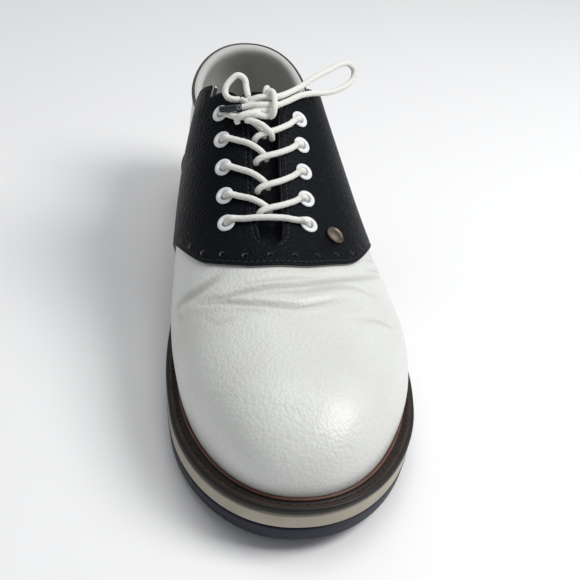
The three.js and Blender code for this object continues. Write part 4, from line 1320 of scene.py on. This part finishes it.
def makeBinding():
    shares = np.concatenate(
        [np.linspace(bindingSizes["end"], 0.06, 90), 0.06 * (np.arange(15, -1, -1) / 16) ** 2.15]
    )
    centres, downs, outs = [], [], []
    for side in (-1, 1):
        s = shares if side < 0 else shares[::-1][1:]
        rim, low = rimRound(s, side, bindingSizes["down"] - 1), rimRound(s, side, bindingSizes["down"] + 1)
        middle = rimRound(s, side, bindingSizes["down"])
        n = normalAt(s, middle)
        centres.append(lastPoint(s, middle) + n * bindingSizes["out"])
        downs.append(unit(lastPoint(s, low) - lastPoint(s, rim)))
        outs.append(n)
    centres, downs, outs = (np.concatenate(block) for block in (centres, downs, outs))
    rings = ringAlong(centres, downs, outs, (bindingSizes["long"], bindingSizes["thick"]), 12)
    n, sides = rings.shape[:2]
    faces = [list(f) for f in gridQuads(n, sides, 0, True)] + endCaps(n, sides)
    piece = meshPiece("collarBinding", rings.reshape(-1, 3), faces, [bindingLeather])
    tidyMesh(piece, 0.00001, 50)
    return piece


# at, half width round the last, thickness, sink at the middle
tongueRows = np.array(
    [
        (0.386, 0.16, 0.6, 2.2), (0.39, 0.26, 0.9, 2.1), (0.4, 0.34, 1.1, 2.0), (0.42, 0.38, 1.1, 1.8),
        (0.5, 0.42, 1, 1.2), (0.6, 0.42, 0.8, 0.6), (0.68, 0.38, 0.6, 0.1), (0.7, 0.3, 0.4, 0)
    ]
)
tongueSizes = {"thick": 3.2, "under": 3.0, "sink": 2.4}


def makeTongue():
    shares = np.concatenate([np.linspace(0.386, 0.42, 18), np.linspace(0.425, 0.7, 80)])
    wide, thin, sink = (np.interp(shares, tongueRows[:, 0], tongueRows[:, k]) for k in (1, 2, 3))
    spread = np.linspace(-1, 1, 41)
    around = wide[:, None] * spread
    share = np.broadcast_to(shares[:, None], around.shape)
    top = -tongueSizes["under"] - sink[:, None] * tongueSizes["sink"] * (1 - (around / 0.5) ** 2)
    thick = thin[:, None] * tongueSizes["thick"]
    crownShape = np.sqrt(np.clip(1 - np.abs(spread) ** 6, 0, 1))
    middle = top - thick / 2
    over = skin(share, around, middle + thick / 2 * crownShape)
    under = skin(share, around, middle - thick / 2 * crownShape)
    points = np.concatenate([over.reshape(-1, 3), under.reshape(-1, 3)])
    piece = meshPiece("tongueFlap", points, slabFaces(*around.shape), [navyLeather])
    tidyMesh(piece, 0.00003, 50)
    return piece


footbedSizes = {"inset": 3.0, "edge": 4, "round": 0.06, "bowl": 0.9, "deep": 0.7}


def makeInsole():
    shares = np.concatenate(
        [
            0.012 + 0.05 * (np.arange(16) / 16) ** 2, np.linspace(0.062, 0.93, 110),
            0.988 - 0.058 * (np.arange(15, -1, -1) / 16) ** 2
        ]
    )
    inset = -footbedSizes["inset"]
    left, right = skin(
        shares, np.full(shares.shape, -1.0), np.full(shares.shape, inset)
    ), skin(shares, np.full(shares.shape, 1.0), np.full(shares.shape, inset))
    spread = np.array([0, 0.008, 0.025, 0.06] + list(np.linspace(0.1, 0.9, 21)) + [0.94, 0.975, 0.992, 1])
    top = left[:, None] * (1 - spread)[None, :, None] + right[:, None] * spread[None, :, None]
    fromSide = np.minimum(spread, 1 - spread)
    rounded = np.sqrt(1 - (1 - np.clip(fromSide / footbedSizes["round"], 0, 1)) ** 2)
    rise = footbedSizes["edge"] * np.where(fromSide < footbedSizes["round"], rounded, 1)
    bowl = footbedSizes["bowl"] * (np.abs(spread - 0.5) * 2) ** 3 - footbedSizes["deep"]
    base = feather(shareAt(top[..., 1]))
    under = top.copy()
    under[..., 2] = base
    top[..., 2] = base + np.maximum(0.05, rise + np.minimum(0, bowl)[None] * (rise > 3.9))
    piece = meshPiece(
        "footbed", np.concatenate([top.reshape(-1, 3), under.reshape(-1, 3)]),
        slabFaces(*top.shape[:2], True), [footbedCloth]
    )
    tidyMesh(piece, 0.00003, 50)
    return piece


print("building binding, tongue and insole")
finishPiece(makeBinding(), "binding_textile", "collar_binding")
finishPiece(makeTongue(), "navy_leather", "tongue")
finishPiece(makeInsole(), "footbed_textile", "insole")

# Eyelets and stud
eyeletProfile = [
    (2.1, -4.0), (2.45, -4.0), (2.6, -3.6), (2.6, 0.28), (3.9, 0.28), (4.2, 0.42), (4.2, 0.62), (3.95, 0.9),
    (3.5, 1.08), (3.0, 1.12), (2.5, 1.0), (2.18, 0.75), (2.1, 0.3), (2.1, -4.0)
]
blocks = [lathe(eyeletProfile, p + n * saddleTop, n, 36) for p, n in zip(eyePoints, eyeNormals)]
eyeletPiece = meshPiece("eyeletRings", *joined(blocks), [enamel])
tidyMesh(eyeletPiece, 0.00001, 50)
finishPiece(
    eyeletPiece, "eyelet_enamel",
    *[f"eyelet_{name}_{row}" for name in ("inner", "outer") for row in range(1, 6)]
)

studSizes = {"share": 0.612, "aside": 28.4, "seat": 1.8}
studShare = np.array([studSizes["share"]])
studRound = roundAtX(studShare, np.array([last["laceLine"] + studSizes["aside"]]))
studPoint, studNormal = lastPoint(studShare, studRound)[0], normalAt(studShare, studRound)[0]
studProfile = [
    (0, 0.3), (4.2, 0.3), (4.3, 0.5), (4.3, 1.1), (4.15, 1.42), (3.85, 1.58), (3.5, 1.5), (3.25, 1.2),
    (3.05, 1.12), (2.6, 1.2), (1.5, 1.42), (0, 1.52)
]
studPiece = meshPiece(
    "stud",
    *lathe(
        [(max(r, 0.001), h) for r, h in studProfile], studPoint + studNormal * studSizes["seat"],
        studNormal, 40
    ),
    [agedBronze]
)
tidyMesh(studPiece, 0.00002, 40)
finishPiece(studPiece, "stud_metal", "stud")


stageSizes = {
    "camera": (-0.0673, -0.399, 0.2997), "target": (0.0059, -0.0114, 0.0262), "lens": 61.5, "roll": 6.17,
    "keyPanel": {"place": (0.64, -0.2, 0.87), "aim": (0, -0.03, 0.04), "size": 0.5, "power": 7.8},
    "topPanel": {"place": (-0.02, 0.16, 1.2), "aim": (0, 0.04, 0.04), "size": 0.6, "power": 3.2},
    "room": (0.95, 0.97, 1.0), "roomStrength": 0.35,
}


# Laces: round braided cord
braidSizes = {"sides": 20, "step": 0.42, "strands": 5, "pitch": 3.0, "rise": 0.11}


def smoothPath(points, spacing):
    points = np.asarray(points, float)
    gaps = np.linalg.norm(np.diff(points, axis=0), axis=1) ** 0.5
    knots = np.concatenate([[0], np.cumsum(gaps)])
    fine = np.linspace(0, knots[-1], 40 * len(points))
    first, last_ = 2 * points[0] - points[1], 2 * points[-1] - points[-2]
    full = np.vstack([first, points, last_])
    stops = np.concatenate([[knots[0] - gaps[0]], knots, [knots[-1] + gaps[-1]]])
    i = np.clip(np.searchsorted(knots, fine, "right") - 1, 0, len(points) - 2) + 1
    t = fine[:, None]
    t0, t1, t2, t3 = (stops[i + k][:, None] for k in (-1, 0, 1, 2))
    p0, p1, p2, p3 = (full[i + k] for k in (-1, 0, 1, 2))
    a1 = (t1 - t) / (t1 - t0) * p0 + (t - t0) / (t1 - t0) * p1
    a2 = (t2 - t) / (t2 - t1) * p1 + (t - t1) / (t2 - t1) * p2
    a3 = (t3 - t) / (t3 - t2) * p2 + (t - t2) / (t3 - t2) * p3
    b1 = (t2 - t) / (t2 - t0) * a1 + (t - t0) / (t2 - t0) * a2
    b2 = (t3 - t) / (t3 - t1) * a2 + (t - t1) / (t3 - t1) * a3
    line = (t2 - t) / (t2 - t1) * b1 + (t - t1) / (t2 - t1) * b2
    lengths = np.concatenate([[0], np.cumsum(np.linalg.norm(np.diff(line, axis=0), axis=1))])
    count = max(8, round(lengths[-1] / spacing))
    even = np.linspace(0, lengths[-1], count + 1)
    return np.stack([np.interp(even, lengths, line[:, k]) for k in range(3)], -1), even


def tube(points, radius, braided=True, closed=False, twist=0.0):
    line, even = smoothPath(points, braidSizes["step"])
    tangent = unit(np.gradient(line, axis=0))
    frames = [unit(np.cross(tangent[0], [0.3, 0.2, 1.0]))]
    for t in tangent[1:]:
        frames.append(unit(frames[-1] - t * np.dot(frames[-1], t)))
    first = np.array(frames)
    second = np.cross(tangent, first)
    sides = braidSizes["sides"]
    angle = np.arange(sides) * 2 * np.pi / sides
    a, s = np.meshgrid(angle, even)
    weave = np.zeros(a.shape)
    if braided:
        turn = a * braidSizes["strands"] / (2 * np.pi)
        one, two = turn + s / braidSizes["pitch"], turn - s / braidSizes["pitch"]
        even1 = (np.floor(one) + np.floor(two)) % 2 < 1
        weave = np.where(even1, 1 - (2 * (one % 1) - 1) ** 2, 1 - (2 * (two % 1) - 1) ** 2)
    ends = np.minimum(even, even[-1] - even)
    cap = np.sqrt(1 - (1 - np.clip(ends / (0.55 * radius), 0, 1)) ** 2)
    r = radius * np.maximum(cap, 0.02)[:, None] + braidSizes["rise"] * (weave - 0.6) * (
        1 if braided else 0
    ) * cap[:, None]
    rings = line[:, None] + r[..., None] * (
        np.cos(a)[..., None] * first[:, None] + np.sin(a)[..., None] * second[:, None]
    )
    faces = [list(f) for f in gridQuads(len(line), sides, 0, True)]
    faces += endCaps(len(line), sides)
    return rings.reshape(-1, 3), faces, weave.ravel(), line, even[-1]


def cordPiece(name, routes, material, radius, braided=True):
    made = [tube(route, radius, braided) for route in routes]
    points, faces = joined([(m[0], m[1]) for m in made])
    piece = meshPiece(name, points, faces, [material])
    # the braid's groove profile, used for the painted groove shade
    giveFloats(piece, "braid", np.concatenate([m[2] for m in made]))
    tidyMesh(piece, 0.000001)
    return piece, made


def over(share, sideways, height):
    around = roundAtX(np.array([share]), np.array([last["laceLine"] + sideways]))
    return skin(np.array([share]), around, np.array([height]))[0]


rowShare = [laceSizes["low"] + (laceSizes["top"] - laceSizes["low"]) * r / 4 for r in range(5)]
rowPitch = rowShare[0] - rowShare[1]
overSaddle = saddleTop + laceSizes["clear"] + laceSizes["radius"]
overRing = saddleTop + laceSizes["ringHeight"] + laceSizes["ringClear"] + laceSizes["radius"]
# forward towards the toe, sideways and lift, in parts of the crossing's reach, half the gauge and millimetres
barRun = [
    (0.05, -0.77, 0.55), (0.12, -0.6, 0), (0.17, -0.35, 0), (0.2, 0, 0), (0.18, 0.36, 0), (0.18, 0.56, 0),
    (0.17, 0.71, 0.55)
]
innerRun = [
    (0.2, -0.8, 0.6), (0.37, -0.63, 0), (0.58, -0.4, 0), (0.83, -0.16, -0.8), (1.0, -0.02, -2.2),
    (1.06, 0.03, -4.6)
]
outerRun = [
    (0.36, 0.74, 0.6), (0.54, 0.62, 0.05), (0.7, 0.48, 0.05), (0.92, 0.25, 0.35), (1.08, 0.0, 0.45),
    (1.16, -0.16, 0), (1.21, -0.24, -1.2), (1.22, -0.26, -3.4)
]
reaches = {1: 0.8, 2: 0.95, 3: 0.97, 4: 1.15}


def runOver(run, row, reach):
    return [
        over(rowShare[row] + f * reach * rowPitch, out * laceSizes["gauge"] / 2, overSaddle + lift)
        for f, out, lift in run
    ]


def fromHole(row, side, towards):
    k = 2 * row + (1 if side > 0 else 0)
    p, n = eyePoints[k], eyeNormals[k]
    away = towards - p
    inward = unit(away - n * np.dot(away, n))
    return [
        p - n * 3.4 - inward * 0.5, p - n * 0.6 - inward * 0.3, p + n * 2.0 + inward * 0.35,
        p + n * 3.55 + inward * 1.75, p + n * overRing + inward * 3.5
    ]


middle = runOver(barRun, 0, 1)
routes = [fromHole(0, -1, middle[0]) + middle + fromHole(0, 1, middle[-1])[::-1]]
for row, reach in reaches.items():
    for side, run in ((-1, innerRun), (1, outerRun)):
        path = runOver(run, row, reach)
        routes.append(fromHole(row, side, path[0]) + path)
rowsPiece, _ = cordPiece("laceRows", routes, whiteCord, laceSizes["radius"])
finishPiece(rowsPiece, "lace_cord", "lace_bar", *[f"lace_crossing_{k}" for k in range(1, 5)])

bow = {
    "innerLoop": [
        (-16.8, 21.5, 111.1), (-17.3, 23, 112.8), (-17.7, 26, 114.6), (-18.2, 28, 116.8),
        (-20.1, 29, 118.3), (-22.2, 29, 118.4), (-24.7, 28, 116.6), (-26.9, 26, 114.2), (-27.3, 24, 111.9),
        (-26.2, 22.3, 110.5), (-23.6, 21.4, 110), (-20.4, 21.6, 110)
    ],
    "outerLoop": [
        (-2.5, 22, 112), (1.7, 27, 111.2), (8.8, 34, 111.6), (15.2, 40, 113.3), (24.1, 48, 114.5),
        (31, 54, 115.4), (35.8, 58, 114.4), (39.4, 59, 110.9), (39, 56.5, 107.4), (34.8, 52, 105.4),
        (28.9, 46.5, 105), (22, 41, 105.9), (15.1, 35.5, 107.9), (8.3, 29.5, 109.2), (1.9, 24, 108.7),
        (-2.4, 20.4, 108.6)
    ],
    "innerEnd": [
        (-1.2, 21.6, 108.5), (-2.4, 20.4, 108.6), (-5.6, 17.2, 109.8), (-8.6, 15.4, 110.6),
        (-12.5, 14.7, 110.8), (-16, 15, 110.3), (-19.2, 15, 109.4), (-25, 15.9, 108), (-30.2, 16.95, 106.8)
    ],
    "outerEnd": [
        (-8.5, 24.4, 110.3), (-7.8, 30.6, 110.9), (-6.3, 37.4, 109), (-5.2, 42.1, 104.6),
        (-4.8, 44.1, 98.6), (-4.8, 44.4, 92.8), (-4.8, 44.2, 86), (-5, 43.8, 80.2)
    ],
    "innerTip": [(-19.5, 15, 109.32), (-25, 15.9, 108), (-30.6, 17, 106.7)],
    "outerTip": [(-4.8, 44.4, 92.6), (-4.8, 44.2, 86), (-5, 43.8, 79.6)],
}
knotRoutes = [
    [(-20.4, 21.6, 110), (-18.2, 19.0, 110.2), (-16, 17.6, 109.7), (-12, 17.4, 109)],
    [(-16.8, 21.5, 111.1), (-16.2, 19.4, 110.2), (-14.5, 17.8, 109.2)],
    [
        (-17.3, 18.2, 109.6), (-15.5, 18.6, 111.4), (-12.1, 18.9, 112.5), (-8.2, 19.6, 112.6),
        (-5.2, 20.5, 112.3), (-2.5, 22, 112), (-0.8, 24, 111.7)
    ],
    [(-6, 17.4, 107.9), (-2.4, 20.4, 108.6), (-0.9, 21.7, 108.5)],
    [
        (-17.2, 16.5, 107.6), (-14.8, 14.3, 108.2), (-12, 13.5, 108.4), (-9, 14.3, 108.4),
        (-5.8, 16.9, 107.8)
    ],
    [
        (-7.4, 20.6, 110.3), (-8.6, 19.9, 113), (-7.9, 19.9, 115.1), (-6.4, 18.9, 115.4),
        (-5.8, 16.4, 114.3), (-5.7, 13.3, 112.5), (-5.9, 11.2, 110.3), (-6.4, 10.9, 107.8),
        (-7.4, 12.6, 105.8)
    ],
    [
        (-6.1, 14.3, 105.8), (-9.6, 12.1, 106.4), (-13.1, 11.6, 107.2), (-16.4, 11.6, 107),
        (-19.5, 11.3, 106.2), (-22, 12.1, 105.6), (-24.2, 13.8, 105.2), (-26, 16.5, 104.6),
        (-27.3, 18.6, 103.9)
    ],
    [
        (-21.8, 10.8, 102.6), (-22.6, 11.1, 104.5), (-21.3, 9.8, 107.2), (-18, 10.3, 108.4),
        (-14.5, 11.7, 108.3), (-11.4, 14.1, 107.7)
    ],
    [
        (-19.3, 10.1, 105.1), (-16.6, 8.7, 105.6), (-14.3, 7.5, 105.5), (-11.5, 5.7, 104.9),
        (-9.2, 4.6, 103.4), (-7.2, 5.4, 100.6), (-6.4, 6.8, 97)
    ],
    [(-13, 22, 109.5), (-10, 23.4, 110.1), (-8.5, 24.4, 110.3), (-8.2, 26, 110.5)],
    [(-13.5, 16.8, 106.8), (-12, 19.5, 107.4), (-9, 20.5, 108), (-5.6, 19.5, 108.6)],
]
knotPiece, _ = cordPiece("laceKnot", knotRoutes, whiteCord, laceSizes["radius"])
finishPiece(knotPiece, "lace_cord", "lace_knot")
tipMiddle = np.array([-21.6, 15.35, 108.85])
tipNormal = unit(np.array(stageSizes["camera"]) / mm - tipMiddle)
blocks = [
    lathe(
        [(0.55, 0.0), (1.05, 0.0), (1.1, 0.15), (0.95, 0.32), (0.65, 0.32), (0.55, 0.2), (0.55, 0.0)],
        tipMiddle + tipNormal * 1.32, tipNormal, 24
    )
]
tips = {}
for name, node in (("innerTip", "lace_tip_inner"), ("outerTip", "lace_tip_outer")):
    tips[name], _ = cordPiece("lace" + name[0].upper() + name[1:], [bow[name]], aglet, 1.48, False)
    finishPiece(tips[name], "lace_tip", node)
tipRing = meshPiece("laceTipRing", *joined(blocks), [tipRim])
tidyMesh(tipRing, 0.00001, 40)
finishPiece(tipRing, "lace_tip")
for name, node, farEnd, pieces in (
    ("outerLoop", "lace_loop_outer", "object", [knotPiece]),
    ("innerLoop", "lace_loop_inner", "object", []),
    ("innerEnd", "lace_end_inner", "fitting", [tips["innerTip"], tipRing]),
    ("outerEnd", "lace_end_outer", "fitting", [tips["outerTip"]]),
):
    piece, made = cordPiece(
        "lace" + name[0].upper() + name[1:], [bow[name]], whiteCord, laceSizes["radius"]
    )
    finishPiece(piece, "lace_cord", node)
    line, length = made[0][3] * mm, made[0][4] * mm
    print("lace", name, "length", round(length * 1000, 1), "mm")
    line[:: max(1, len(line) // 60)].tolist() + [line[-1].tolist()]

# Floor, light and camera


def lightPanel(name, place, aim, size, power, colour=(1, 1, 1)):
    data = bpy.data.lights.new(name, "AREA")
    data.shape, data.size, data.energy, data.color = "SQUARE", size, power, colour
    panel = bpy.data.objects.new(name, data)
    bpy.context.scene.collection.objects.link(panel)
    panel.location = place
    panel.rotation_euler = (Vector(aim) - Vector(place)).to_track_quat("-Z", "Y").to_euler()


floor = meshPiece(
    "floor", [(-3000, -3000, 0), (3000, -3000, 0), (3000, 3000, 0), (-3000, 3000, 0)], [[0, 1, 2, 3]], [],
    smooth=False
)
floorFinish = Shader("paleFloor", (0.93, 0.93, 0.93), 0.7, Specular_IOR_Level=0.2)
floorFinish.put(
    "Base Color",
    floorFinish.mix(floorFinish.noise(floorFinish.place(), 3, 2), (0.92, 0.92, 0.92), (0.94, 0.94, 0.94))
)
floor.data.materials.append(floorFinish.material)

scene = bpy.context.scene
world = bpy.data.worlds.new("softRoom")
world.use_nodes = True
world.node_tree.nodes["Background"].inputs[0].default_value = (*stageSizes["room"], 1)
world.node_tree.nodes["Background"].inputs[1].default_value = stageSizes["roomStrength"]
scene.world = world
for panelName in ("keyPanel", "topPanel"):
    lightPanel(panelName, **stageSizes[panelName])
scene.view_settings.view_transform = "Standard"

cameraData = bpy.data.cameras.new("camera")
cameraData.lens, cameraData.sensor_width, cameraData.sensor_fit = stageSizes["lens"], 36.0, "AUTO"
cameraData.clip_start, cameraData.clip_end = 0.01, 30.0
camera = bpy.data.objects.new("camera", cameraData)
scene.collection.objects.link(camera)
camera.location = stageSizes["camera"]
look = (
    Vector(stageSizes["target"]) - Vector(stageSizes["camera"])
).to_track_quat("-Z", "Y").to_matrix().to_4x4()
camera.rotation_euler = (look @ Matrix.Rotation(math.radians(stageSizes["roll"]), 4, "Z")).to_euler()
scene.camera = camera

print("scene ready")
